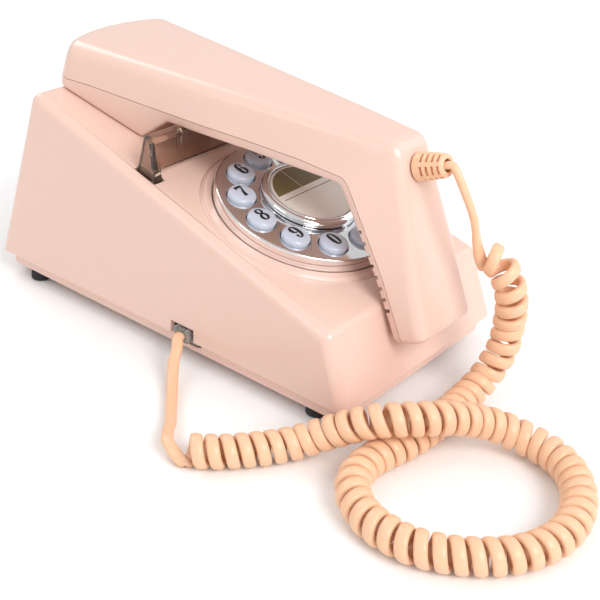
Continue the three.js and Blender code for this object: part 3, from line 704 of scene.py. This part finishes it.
def shell_faces(grids, columns, index):
    faces, ends = [], (0, len(grids[0]) - 1)

    def add(keys, turned_over=False):
        corners = list(dict.fromkeys(index[key] for key in keys))
        if len(corners) > 2:
            faces.append(corners[::-1] if turned_over else corners)

    for g in (0, 1):
        for i in range(ends[1]):
            for j in columns[:-1]:
                quad = [(g, i, j), (g, i + 1, j), (g, i + 1, j + 1), (g, i, j + 1)]
                add([(*key, 1) for key in quad], g)
                add([(*key, -1) for key in quad[:1] + quad[:0:-1]], g)
        for i in ends:
            for j in columns[:-1]:
                for k in range(CAP_STEPS):
                    quad = [(g, i, n, "cap", m)
                            for n, m in ((j, k), (j + 1, k), (j + 1, k + 1), (j, k + 1))]
                    add(quad[::-1] if i else quad, g)
    for i in range(ends[1]):
        for side in (1, -1):
            add([(g, n, SEAM_INDEX, side) for g, n in ((0, i), (0, i + 1), (1, i + 1), (1, i))])
    for i in ends:
        for k in range(CAP_STEPS):
            add([(g, i, SEAM_INDEX, "cap", n) for g, n in ((0, k), (0, k + 1), (1, k + 1), (1, k))])
    return faces


def shell_mesh(name, upper):
    """One half of the handset as a closed thin-walled moulding."""
    shift = SEAM_GAP / 2 if upper else -SEAM_GAP / 2
    grids = [handset_grid(inset, shift) for inset in (0.0, HANDSET_WALL)]
    columns = range(SEAM_INDEX, len(grids[0][0])) if upper else range(SEAM_INDEX + 1)
    vertices, index = shell_points(grids, columns)
    faces = shell_faces(grids, columns, index)
    return tidy_normals(piece(name, vertices, faces, PINK, 30))


GROOVES, FIRST_GROOVE, LAST_GROOVE = 8, np.array((19.9, 21.3)), np.array((-3.3, -0.5))


def with_grooves(shell):
    """Cuts the grooves right across the mouthpiece's inner face."""
    run = LAST_GROOVE - FIRST_GROOVE
    turn = math.atan2(run[1], run[0]) + math.pi
    for k in range(GROOVES):
        s, h = FIRST_GROOVE + run * k / (GROOVES - 1)
        groove = rounded_block(f"groove_{k}", (-30, -0.75, -3), (30, 0.75, 2.1), 0, None)
        moved(groove, at_mm(0, s, h) @ Matrix.Rotation(turn, 4, "X"))
        cut(shell, groove)
    return shell


def make_handset():
    upper = moved(shell_mesh("handset_upper", True), SLOPE)
    lower = moved(with_grooves(shell_mesh("handset_lower", False)), SLOPE)
    for shell, node in ((upper, "handset_upper_shell"), (lower, "handset_lower_shell")):
        shade(shell, 32)
        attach(shell, "handset")
        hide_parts(node)


make_handset()


# ---- casing
HALF_WIDTH, TAPER_BACK, TAPER_UP = 52.2, 0.00825, 0.0437
FRONT_FOOT, REAR_FOOT, RIDGE = -98.5, 107.5, (78, 93.4)
SEAM_Z = 10.9  # the casing's lower edge
CASING_WALL = 2.5
EDGE_RADIUS = 4.5
DIAL_BORE, POST_CIRCLE = 37, 39.5
SLOT_X, SLOT_HALF = 41.05, 2.95
FAR = 200  # well past the casing, for cutters
SCREW_PLACES = [(x, y) for x in (-36, 36) for y in (-62, 70)]


def plane(normal, point):
    normal = Vector(normal).normalized()
    return normal, normal.dot(Vector(point))


def wedge_planes():
    crease = CREASE / MM
    rise = (crease.y - FRONT_FOOT, crease.z - SEAM_Z)
    fall = (REAR_FOOT - RIDGE[0], RIDGE[1] - SEAM_Z)
    return {
        "right": plane((1, TAPER_BACK, TAPER_UP), (HALF_WIDTH, FRONT_FOOT, SEAM_Z)),
        "left": plane((-1, TAPER_BACK, TAPER_UP), (-HALF_WIDTH, FRONT_FOOT, SEAM_Z)),
        "front": plane((0, -rise[1], rise[0]), crease),
        "top": plane((0, -math.sin(TILT), math.cos(TILT)), crease),
        "rear": plane((0, fall[1], fall[0]), (0, *RIDGE)),
        "floor": plane((0, 0, -1), (0, 0, SEAM_Z - 3 * EDGE_RADIUS)),
    }


PLANES = wedge_planes()


def skin_depth(point):
    """How far a point in mm lies outside the wedge's nearest flat; inside is negative."""
    return max(normal.dot(point) - offset for normal, offset in PLANES.values())


def wedge_corners(inset, steps):
    """The rounded corners: the three flats of each, their points and the points' numbers."""
    radius = EDGE_RADIUS - inset
    corners, vertices, index = [], [], {}
    for side in ("left", "right"):
        for pair in (("floor", "front"), ("front", "top"), ("top", "rear"), ("rear", "floor")):
            corner = (side, *pair)
            corners.append(corner)
            normals = [PLANES[flat][0] for flat in corner]
            offsets = [PLANES[flat][1] - inset - radius for flat in corner]
            centre = Matrix(normals).inverted() @ Vector(offsets)
            for i in range(steps + 1):
                for j in range(steps + 1 - i):
                    shares = (i, j, steps - i - j)
                    out = sum((n * w for n, w in zip(normals, shares)), Vector()).normalized()
                    index[corner, shares] = len(vertices)
                    vertices.append((centre + out * radius) * MM)
    return corners, vertices, index


def rounded_wedge(name, inset, steps, material):
    """The wedge moved inward by inset, every edge and corner rounded."""
    corners, vertices, index = wedge_corners(inset, steps)
    faces = []

    def at(corner, shares):
        return index[corner, tuple(shares.get(flat, 0) for flat in corner)]

    for corner in corners:
        for i in range(steps):
            for j in range(steps - i):
                k = steps - i - j - 1
                faces.append([index[corner, shares]
                              for shares in ((i, j, k + 1), (i + 1, j, k), (i, j + 1, k))])
                if k > 0:
                    faces.append([index[corner, shares] for shares in (
                        (i + 1, j, k), (i + 1, j + 1, k - 1), (i, j + 1, k))])
    for a, first in enumerate(corners):
        for second in corners[a + 1:]:
            shared = [flat for flat in first if flat in second]
            if len(shared) == 2:
                p, q = shared
                for t in range(steps):
                    low, high = {p: t, q: steps - t}, {p: t + 1, q: steps - t - 1}
                    faces.append([at(first, low), at(first, high), at(second, high),
                                  at(second, low)])
    for flat in PLANES:
        ring = [corner for corner in corners if flat in corner]
        if flat not in ("left", "right"):
            ring = [ring[0], ring[1], ring[3], ring[2]]
        faces.append([at(corner, {flat: steps}) for corner in ring])
    return tidy_normals(piece(name, vertices, faces, material))


def box_mm(name, low, high, radius=0.0):
    return rounded_block(name, low, high, radius, None, segments=2)


def pipe(name, radius, low, high, segments, place, material=None):
    """A plain round bar in mm, for joining and cutting."""
    profile = [(0, low), (radius, low), (radius, high), (0, high)]
    return moved(turned(name, profile, segments, material), place)


def soften(obj, width, chosen, segments=2, angle=35):
    """Rounds the sharp edges whose two ends both pass a test."""
    work = bmesh.new()
    work.from_mesh(obj.data)
    edges = []
    for edge in work.edges:
        if len(edge.link_faces) == 2 and edge.calc_face_angle(0) > math.radians(angle):
            if all(chosen(vertex.co / MM) for vertex in edge.verts):
                edges.append(edge)
    bmesh.ops.bevel(work, geom=edges, offset=width * MM, segments=segments, profile=0.5,
                    affect="EDGES", clamp_overlap=False)
    bmesh.ops.recalc_face_normals(work, faces=work.faces)
    work.to_mesh(obj.data)
    work.free()
    return obj


def dial_pad():
    profile = [(39.4, -1.2), (39.4, 0.85)] + arc(39.65, 0.85, 0.25, 180, 90, 4)[1:]
    profile += arc(42.2, 0.3, 0.8, 90, 25, 5) + [(43.2, 0.33), (43.5, 0.14), (44, 0), (44, -1.2)]
    return moved(turned("pad", profile, 144, PINK, closed=True), DIAL)


def make_casing():
    shell = rounded_wedge("upper_casing_shell", 0, 8, PINK)
    cut(shell, rounded_wedge("inside", CASING_WALL, 4, PINK))
    cut(shell, box_mm("below", (-FAR, -FAR, -FAR), (FAR, FAR, SEAM_Z)))
    join(shell, dial_pad())
    cut(shell, pipe("bore", DIAL_BORE, -6, 3, 144, DIAL))
    for side in (-1, 1):
        low, high = SLOT_X * side - SLOT_HALF, SLOT_X * side + SLOT_HALF
        slot = box_mm("slot", (low, 99.6, -6), (high, 111.8, 3), 0.4)
        cut(shell, moved(slot, SLOPE))
    cut(shell, box_mm("jack_opening", (-FAR, -20.2, 0), (-45, -7.2, 16.4)))
    cut(shell, box_mm("line_opening", (-6.2, 98, 0), (6.2, FAR, 20)))
    for x, y in SCREW_PLACES:
        roof = CREASE.z / MM + (y - CREASE.y / MM) * math.tan(TILT) - CASING_WALL / 2
        join(shell, pipe("boss", 3.8, SEAM_Z, roof, 32, at_mm(x, y), PINK))
        cut(shell, pipe("boss_bore", 1.6, SEAM_Z - 1, 22, 24, at_mm(x, y)))
    for x, y in arc(0, 0, POST_CIRCLE, 45, 315, 4):
        join(shell, moved(pipe("post", 2, -4.6, -1.25, 16, at_mm(x, y), PINK), DIAL))
    join(shell, moved(box_mm("bracket", (-46, 113, -18), (-34, 115.5, -1.25)), SLOPE))
    soften(shell, 0.35, lambda point: skin_depth(point) > -1.6)
    shade(shell, 32, weighted=True)
    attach(shell, "base")
    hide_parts("upper_casing")


# ---- base tray
TRAY_BOTTOM, TRAY_RIM, TRAY_FLOOR, TRAY_INSET, TRAY_WALL = 4.6, 10.6, 2.2, 2.8, 2.0


def footprint(inset, radius):
    """The casing's outline at the floor, moved in, with round corners."""
    front = HALF_WIDTH - inset
    rear = front - TAPER_BACK * (REAR_FOOT - FRONT_FOOT)
    low, high = FRONT_FOOT + inset, REAR_FOOT - inset
    outline = arc(front - radius, low + radius, radius, -90, 0, 9)
    outline += arc(rear - radius, high - radius, radius, 0, 90, 9)
    outline += arc(-rear + radius, high - radius, radius, 90, 180, 9)
    return outline + arc(-front + radius, low + radius, radius, 180, 270, 9)


def make_tray():
    tray = prism("base_tray", footprint(TRAY_INSET, 6), TRAY_BOTTOM, TRAY_RIM, PINK, "Z")
    soften(tray, 0.8, lambda point: point.z < TRAY_BOTTOM + 0.1, segments=3)
    inner = footprint(TRAY_INSET + TRAY_WALL, 4)
    cut(tray, prism("tray_inside", inner, TRAY_BOTTOM + TRAY_FLOOR, FAR, PINK, "Z"))
    for x, y in SCREW_PLACES:
        join(tray, pipe("boss", 5.5, 5.8, TRAY_RIM, 32, at_mm(x, y), PINK))
        cut(tray, pipe("through", 1.6, 0, FAR, 24, at_mm(x, y)))
        cut(tray, pipe("recess", 3.5, 0, 7.6, 32, at_mm(x, y)))
    for x in (-24, 24):
        for y in (-14, 38):
            join(tray, pipe("board_post", 3, 6, 13.7, 20, at_mm(x, y), PINK))
    cut(tray, box_mm("lead_notch", (-FAR, -22.2, 7.6), (-45, -14.5, FAR)))
    cut(tray, box_mm("jack_notch", (-FAR, -20.8, 7.1), (-36.5, -8.2, FAR)))
    shade(tray, 32, weighted=True)
    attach(tray, "base")
    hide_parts("base_plate")


def make_feet_and_screws():
    foot_profile = [(0, 0), (3.6, 0), (4.2, 0.12), (4.65, 0.45), (4.8, 0.9), (4.62, 2.6),
                    (4.4, 4.2), (4.3, 4.3), (0, 4.3)]
    screw_profile = [(0, 5.6), (2.3, 5.6), (2.8, 5.75), (3.1, 6.05), (3.2, 6.4), (3.2, 7.3),
                     (1.3, 7.3), (1.3, 18.2), (0.9, 19), (0, 19)]
    count = 0
    for side in (-1, 1):
        for foot_y, screw_y in ((-79.5, -62), (87.5, 70)):
            count += 1
            foot = moved(turned(f"foot_{count}", foot_profile, 40, BLACK_RUBBER),
                         at_mm(side * 43.5, foot_y))
            screw = turned(f"screw_{count}", screw_profile, 32, STEEL)
            for turn in (0, math.pi / 2):
                slot = box_mm("driver_slot", (-2, -0.35, 5), (2, 0.35, 6.7))
                cut(screw, moved(slot, Matrix.Rotation(turn + 0.4 * count, 4, "Z")))
            moved(screw, at_mm(side * 36, screw_y))
            for obj, node, name in ((foot, f"rubber_foot_{count}", "black_rubber"),
                                    (screw, f"base_screw_{count}", "steel")):
                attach(obj, "base")
                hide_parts(node)


# ---- dial
FACE_RADIUS, FACE_TOP, FACE_SHEET = 39.1, 6.9, 1.2
KEY_CIRCLE, KEY_HOLE, KEY_TOP = 29.5, 6.2, 9.7
LABEL_TOP = 10.6
KEY_DOME = [(5.8, -1.75), (5.76, -1.4), (5.62, -1.1), (5.36, -0.83), (4.95, -0.6), (4.3, -0.4),
            (3.4, -0.23), (2.3, -0.1), (1.15, -0.03), (0, 0)]

# Strokes of the key marks in a box about 66 wide and 100 high: points with a width at each, or
# a single point with a width for a round end.
MARKS = {
    "1": [[(35, 4, 19), (35, 95, 19)], [(13, 3.5, 7), (57, 3.5, 7)], [(13, 79, 5), (24, 83, 8),
         (34, 93, 10)]],
    "2": [[(15, 72, 20)], [(10, 72, 6), (14, 87, 6), (30, 96, 7), (46, 88, 14), (50, 72, 19),
         (43, 54, 17), (26, 34, 10), (11, 14, 6)], [(9, 9, 17), (56, 9, 17)], [(58, 5, 5),
         (60, 30, 5)]],
    "3": [[(15, 77, 18)], [(14, 22, 19)], [(10, 79, 5), (17, 92, 6), (32, 97, 7), (45, 89, 14),
         (48, 76, 18), (41, 61, 13), (24, 54, 6)], [(24, 54, 6), (43, 48, 13), (52, 29, 20),
         (45, 11, 15), (30, 3, 7), (15, 8, 6), (8, 20, 5)]],
    "4": [[(44, 4, 18), (44, 96, 18)], [(41, 96, 6), (6, 30, 6)], [(5, 28, 8), (64, 28, 8)],
         [(26, 3.5, 7), (62, 3.5, 7)]],
    "5": [[(14, 20, 18)], [(16, 90, 15), (53, 90, 15)], [(15, 95, 6), (14, 50, 6)], [(14, 52, 5),
         (28, 60, 8), (44, 53, 16), (51, 33, 20), (44, 12, 15), (29, 3, 7), (14, 8, 6),
         (8, 18, 5)]],
    "6": [[(48, 79, 16)], [(52, 82, 5), (46, 93, 6), (34, 97, 7), (20, 87, 15), (13, 65, 19),
         (13, 38, 20), (19, 14, 16), (34, 3, 7), (47, 11, 14), (53, 29, 19), (48, 47, 14),
         (35, 56, 7), (22, 49, 6), (16, 38, 6)]],
    "7": [[(8, 87, 17), (57, 87, 17)], [(8, 96, 5), (7, 68, 6)], [(57, 86, 7), (42, 60, 10),
         (31, 35, 16), (27, 4, 22)]],
    "8": [[(33, 97, 7), (19, 90, 12), (15, 76, 15), (21, 62, 13), (33, 54, 9), (47, 43, 15),
         (53, 26, 19), (47, 10, 14), (33, 3, 7), (19, 10, 13), (12, 26, 17), (19, 43, 13),
         (33, 54, 9), (45, 62, 12), (51, 76, 15), (47, 90, 12), (33, 97, 7)]],
    "0": [[(33, 97, 7), (19, 86, 15), (13, 50, 20), (19, 14, 15), (33, 3, 7), (47, 14, 15),
         (53, 50, 20), (47, 86, 15), (33, 97, 7)]],
    "hash": [[(26, 8, 10), (32, 92, 10)], [(46, 8, 10), (52, 92, 10)], [(6, 35, 9), (68, 35, 9)],
         [(10, 65, 9), (72, 65, 9)]],
}
MARKS["star"] = [
    [(36, 50, 5), (36 + 33 * math.sin(a), 50 + 33 * math.cos(a), 17)]
    for a in (k * math.pi / 3 for k in range(6))]
MARKS["9"] = [[(66 - x, 100 - y, width) for x, y, width in stroke] for stroke in MARKS["6"]]
MARK_HEIGHT, MARK_SHIFT, MARK_WEIGHT = 6.8, 0.6, 1.22


def dome_height(radius):
    radii, drops = zip(*KEY_DOME[::-1])
    return KEY_TOP + float(np.interp(radius, radii, drops))


def mark_outline(stroke):
    """Rows of points across a stroke, in mm on the key."""
    scale = MARK_HEIGHT / 100
    points = [((x - 33) * scale, (y - 50) * scale + MARK_SHIFT, w * scale * MARK_WEIGHT)
              for x, y, w in stroke]
    if len(points) == 1:
        x, y, width = points[0]
        angles = np.radians(np.linspace(0, 180, 9))
        return [[(x + width / 2 * math.cos(a), y + share * width / 2 * math.sin(a))
                 for share in (1, 0.33, -0.33, -1)] for a in angles[1:-1]]
    line = catmull(points, 5) if len(points) > 2 else np.linspace(points[0], points[1], 7)
    tangents = unit(np.gradient(line[:, :2], axis=0))
    rows = []
    for (x, y, width), (u, v) in zip(line, tangents):
        rows.append([(x - v * width * f, y + u * width * f) for f in (0.5, 0.17, -0.17, -0.5)])
    return rows


def mark_mesh(name, strokes):
    vertices, faces = [], []
    for stroke in strokes:
        rows = mark_outline(stroke)
        base, across, count = len(vertices), len(rows[0]), len(rows)
        for lift in (0.05, -0.25):
            for row in rows:
                for x, y in row:
                    vertices.append(Vector((x, y, dome_height(math.hypot(x, y)) + lift)) * MM)
        layer = across * count
        for i in range(count - 1):
            for j in range(across - 1):
                a = base + i * across + j
                faces.append([a, a + 1, a + across + 1, a + across])
                faces.append([layer + v for v in (a, a + across, a + across + 1, a + 1)])
        rim = [base + j for j in range(across)]
        rim += [base + i * across + across - 1 for i in range(1, count)]
        rim += [base + (count - 1) * across + j for j in range(across - 2, -1, -1)]
        rim += [base + i * across for i in range(count - 2, 0, -1)]
        for a, b in zip(rim, rim[1:] + rim[:1]):
            faces.append([a, b, layer + b, layer + a])
    return tidy_normals(piece(name, vertices, faces, INK, 50))


KEY_PLACES = arc(0, 0, KEY_CIRCLE, 0, 330, 12)


def make_keys():
    under = FACE_TOP - FACE_SHEET - 0.3
    profile = [(0, 0), (3, 0), (3, under - 2.6), (6.7, under - 2.6), (6.7, under - 1.6),
               (5.8, under - 1.6)]
    profile += [(radius, KEY_TOP + drop) for radius, drop in KEY_DOME]
    for name, spot in zip(KEY_NAMES, KEY_PLACES):
        place = DIAL @ at_mm(*spot)
        cap = moved(turned(f"cap_{name}", profile, 56, KEY, 40), place)
        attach(cap, f"key_{name}")
        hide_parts(f"key_{name}")
        mark = moved(mark_mesh(f"mark_{name}", MARKS[name]), place)
        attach(mark, f"key_{name}")


def make_faceplate():
    rim = arc(FACE_RADIUS - 0.7, FACE_TOP - 0.7, 0.7, 0, 90, 7)
    profile = [(0, FACE_TOP - FACE_SHEET), (FACE_RADIUS - 1.2, FACE_TOP - FACE_SHEET),
               (FACE_RADIUS - 1.2, 0.3), (FACE_RADIUS, 0.3)] + rim + [(0, FACE_TOP)]
    face = turned("faceplate", profile, 144, CHROME, 40)
    for x, y in KEY_PLACES:
        cut(face, pipe("hole", KEY_HOLE, 3, 10, 48, at_mm(x, y)))

    def hole_edge(point):
        near = min(math.dist(point.xy, spot) for spot in KEY_PLACES)
        return abs(near - KEY_HOLE) < 0.05 and point.z > FACE_TOP - 0.05

    soften(face, 0.28, hole_edge, segments=3)
    shade(moved(face, DIAL), 40, weighted=True)
    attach(face, "base")
    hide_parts("dial_faceplate")


def make_centre():
    ring_profile = [(12, 7.2), (20.2, 7.2), (20.4, 7.35), (20.85, 8.8), (20.9, 9.0), (20.84, 9.2),
                    (20.72, 9.42), (20.45, 9.74), (20.1, 10.02), (19.7, 10.22), (19.35, 10.32),
                    (19.1, 10.36), (18.95, 10.48), (18.75, 10.7), (18.5, 10.8), (18.2, 10.8),
                    (17.98, 10.7), (17.9, 10.5), (17.9, 9.1), (12, 9.1)]
    ring = moved(turned("ring", ring_profile, 144, CHROME, 50, closed=True), DIAL)
    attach(ring, "base")
    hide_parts("centre_ring")
    low, top = LABEL_TOP - 1.2, LABEL_TOP
    label_profile = [(0, low), (17.2, low), (17.4, low + 0.15), (17.4, top - 0.3),
                     (17.32, top - 0.14), (17.1, top - 0.1), (0, top - 0.1)]
    label = moved(turned("label", label_profile, 128, LABEL, 40), DIAL)
    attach(label, "base")
    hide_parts("centre_label")
    panel_radius, panel_low = 16.4, 4.0
    half = math.degrees(math.asin(panel_low / panel_radius))
    print_layers = [
        ("label_panel", arc(0, 0, panel_radius, half, 180 - half, 49), 0.04, OLIVE),
        ("label_divider", [(-1.65, 4.2), (-1.45, 4.2), (-1.45, 16), (-1.65, 16)], 0.07, LABEL),
        ("label_rule", [(-15.4, 0.85), (15.4, 0.85), (15.4, 1.15), (-15.4, 1.15)], 0.04, INK),
    ]
    for name, outline, lift, material in print_layers:
        layer = moved(prism(name, outline, top - 0.4, top - 0.1 + lift, material, "Z"), DIAL)
        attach(layer, "base")


# ---- cradle
CROWN = [(110.9, 14.4), (110.4, 16.6), (108.8, 17.5), (107, 17.4), (105.9, 16.2)]
CHEEK = [(100.4, 0), (100.4, -3), (103.2, -3), (103.2, -8), (108.4, -8), (108.4, -3),
         (110.9, -3)] + CROWN
SHOULDER = [(103.3, 2.6), (104.9, 2.6), (108.8, 13)] + CROWN
WEB = [(103.3, 2.6), (104.9, 2.6), (110, 13.7), (109.6, 15.3), (107, 15.3)]
CHEEK_INNER, CHEEK_OUTER, CHEEK_LEAN = 38.7, 43.4, 2.2


def cheek_plate(side):
    """An end plate of the cradle, thinner towards its top."""
    cheek = prism("cheek", CHEEK, side * CHEEK_INNER, side * CHEEK_OUTER, SMOKE)
    for vertex in cheek.data.vertices:
        if abs(vertex.co.x) < (CHEEK_INNER + 0.1) * MM:
            lean = max(vertex.co.z, 0) / (CROWN[2][1] * MM)
            vertex.co.x += side * CHEEK_LEAN * lean * MM
    return soften(tidy_normals(cheek), 0.6, lambda point: True, angle=50)


def make_cradle():
    cradle = prism("cradle_web", WEB, -28, 28, SMOKE)
    soften(cradle, 0.3, lambda point: True, angle=20)
    for side in (-1, 1):
        ends = sorted((side * 26.6, side * 41.6))
        shoulder = prism("shoulder", SHOULDER, *ends, SMOKE)
        join(cradle, soften(shoulder, 0.35, lambda point: True, angle=50))
        join(cradle, cheek_plate(side))
    shade(moved(cradle, SLOPE), 30, weighted=True)
    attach(cradle, "cradle")
    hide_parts("hook_cradle")


# ---- strain relief, plug and jacks
RELIEF_FOOT, RELIEF_AXIS = Vector((0, -88.9, 91.6)), Vector((0, -0.9531, 0.3026))
RELIEF_ROWS, RELIEF_SLOTS, RELIEF_TURN = 4, 6, 8  # the turn is in degrees
PLUG_Y, CONTACT_PITCH, SPRING_PITCH = -14.5, 1.27, 1.02


def arc_cutter(name, inner, outer, low, high, middle, spread):
    """Part of a ring, for cutting a slot round a turned body; angles in degrees."""
    start, end = middle - spread / 2, middle + spread / 2
    outline = arc(0, 0, outer, start, end, 9) + arc(0, 0, inner, start, end, 9)[::-1]
    return prism(name, outline, low, high, None, "Z")


def make_relief():
    profile = [(0, 0.3), (5.3, 0.3), (5.6, 0.55), (5.6, 1.6), (4.62, 11.6), (4.5, 12.2),
               (4.2, 12.7), (3.7, 13), (2.7, 13), (2.5, 12.8), (2.5, 9.4), (0, 9.4)]
    relief = turned("relief", profile, 64, PEACH, 35)
    for row in range(RELIEF_ROWS):
        z = 3.5 + row * 2.4
        for part in range(RELIEF_SLOTS):
            middle = RELIEF_TURN + 360 / RELIEF_SLOTS * part
            cut(relief, arc_cutter("slot", 3.5, 7, z, z + 1.15, middle, 41))
    turn = RELIEF_AXIS.to_track_quat("Z", "Y").to_matrix().to_4x4()
    shade(moved(relief, at_mm(*RELIEF_FOOT) @ turn), 32, weighted=True)
    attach(relief, "handset")
    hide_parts("strain_relief")


def make_plug():
    """The clear plug in the handset jack, with its latch and four contacts."""
    body = rounded_block("plug", (-53, -18.3, 9.9), (-40.5, -10.7, 15.9), 0.3, CLEAR)
    cut(body, box_mm("latch_notch", (-54, -16.9, 14.7), (-48, -12.1, 20)))
    cut(body, box_mm("cord_mouth", (-54, -17, 10.6), (-44.5, -12, 13.9), 0.2))
    outline = [(-16.2, 14.2), (-12.8, 14.2), (-12.8, 14.8), (-16.2, 14.8)]
    latch = prism("latch", outline, -52.8, -47, CLEAR)
    turn = at_mm(-47, 0, 14.5) @ Matrix.Rotation(math.radians(9), 4, "Y") @ at_mm(47, 0, -14.5)
    join(body, moved(latch, turn))
    shade(body, 32)
    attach(body, "base")
    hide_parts("cord_plug")
    for k in range(4):
        y = PLUG_Y + (k - 1.5) * CONTACT_PITCH
        contact = rounded_block(f"contact_{k + 1}", (-43.6, y - 0.2, 10.1), (-40.9, y + 0.2, 13.2),
                                0.08, GOLD, segments=1)
        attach(contact, "base")


def make_jacks():
    """The two sockets, the line socket with its spring wires."""
    jack = rounded_block("jack_handset", (-48.2, -20.4, 7.4), (-37, -8.6, 17.6), 0.4, JACK_GREY)
    cut(jack, box_mm("plug_room", (-54, -18.65, 9.55), (-40.15, -10.35, 16.25)))
    line = rounded_block("jack_line", (-7.5, 86, 7.1), (7.5, 99.5, 20.5), 0.4, DARK_PLASTIC)
    cut(line, box_mm("line_room", (-4.8, 89, 11.3), (4.8, FAR, 18.3)))
    cut(line, box_mm("latch_room", (-2.2, 91, 18), (2.2, FAR, 19.6)))
    for obj, node in ((jack, "handset_jack"), (line, "line_jack")):
        shade(obj, 32)
        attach(obj, "base")
        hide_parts(node)
    for k in range(4):
        x = (k - 1.5) * SPRING_PITCH
        lower, upper = Vector((x, 98, 12.2)) * MM, Vector((x, 90, 15.4)) * MM
        line_points = even(np.array([lower, upper]), 2 * MM)[0]
        across = np.tile([1.0, 0.0, 0.0], (len(line_points), 1))
        wire = swept(f"spring_wire_{k + 1}", line_points, across, 0.45 * MM, 0.45 * MM, GOLD, 8)
        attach(wire, "base")


make_casing()
make_tray()
make_feet_and_screws()
make_faceplate()
make_keys()
make_centre()
make_cradle()
make_relief()
make_plug()
make_jacks()


# ---- stage
WORLD_LIGHT = 0.69
LAMP_AIM = Vector((0, 0, 0.05))
LAMPS = [  # name, place, size and watts
    ("key", (-0.35, -1.4, 1.15), 0.9, 19.3),
    ("side", (-1.3, 0.3, 1.1), 0.8, 2.7),
    ("fill", (1.0, -0.7, 0.9), 1.0, 3),
    ("rim", (0.2, 1.2, 1.2), 0.8, 6),
]


def make_stage():
    recipe = Recipe("floor_white", Roughness=0.6)
    recipe.colour(recipe.noise(3), (0.93, 0.93, 0.93), (0.95, 0.95, 0.95))
    corners = [(-4, -4, 0), (4, -4, 0), (4, 4, 0), (-4, 4, 0)]
    floor = piece("floor", corners, [(0, 1, 2, 3)], recipe.material)
    world = bpy.data.worlds.new("studio")
    world.use_nodes = True
    background = world.node_tree.nodes["Background"]
    background.inputs["Color"].default_value = (1, 1, 1, 1)
    background.inputs["Strength"].default_value = WORLD_LIGHT
    bpy.context.scene.world = world
    for name, place, size, power in LAMPS:
        data = bpy.data.lights.new(name, "AREA")
        data.shape = "SQUARE"
        data.size = size
        data.energy = power
        lamp = bpy.data.objects.new(name, data)
        lamp.location = place
        aim = LAMP_AIM - Vector(place)
        lamp.rotation_euler = aim.to_track_quat("-Z", "Y").to_euler()
        bpy.context.scene.collection.objects.link(lamp)
    bpy.context.scene.view_settings.view_transform = "Standard"


make_stage()

# ---- materials of the CAD nodes that stay
FINISHES = {
    "keypad_membrane": SILICONE, "keypad_board": BOARD, "main_board": BOARD,
    "base_weight": STEEL, "handset_weight": STEEL, "ringer": DARK_PLASTIC,
    "hook_switch": DARK_PLASTIC, "receiver_capsule": DARK_PLASTIC,
    "microphone_capsule": DARK_PLASTIC,
}
for node, material in FINISHES.items():
    for slot in frame["nodes"][node].material_slots:
        slot.material = material
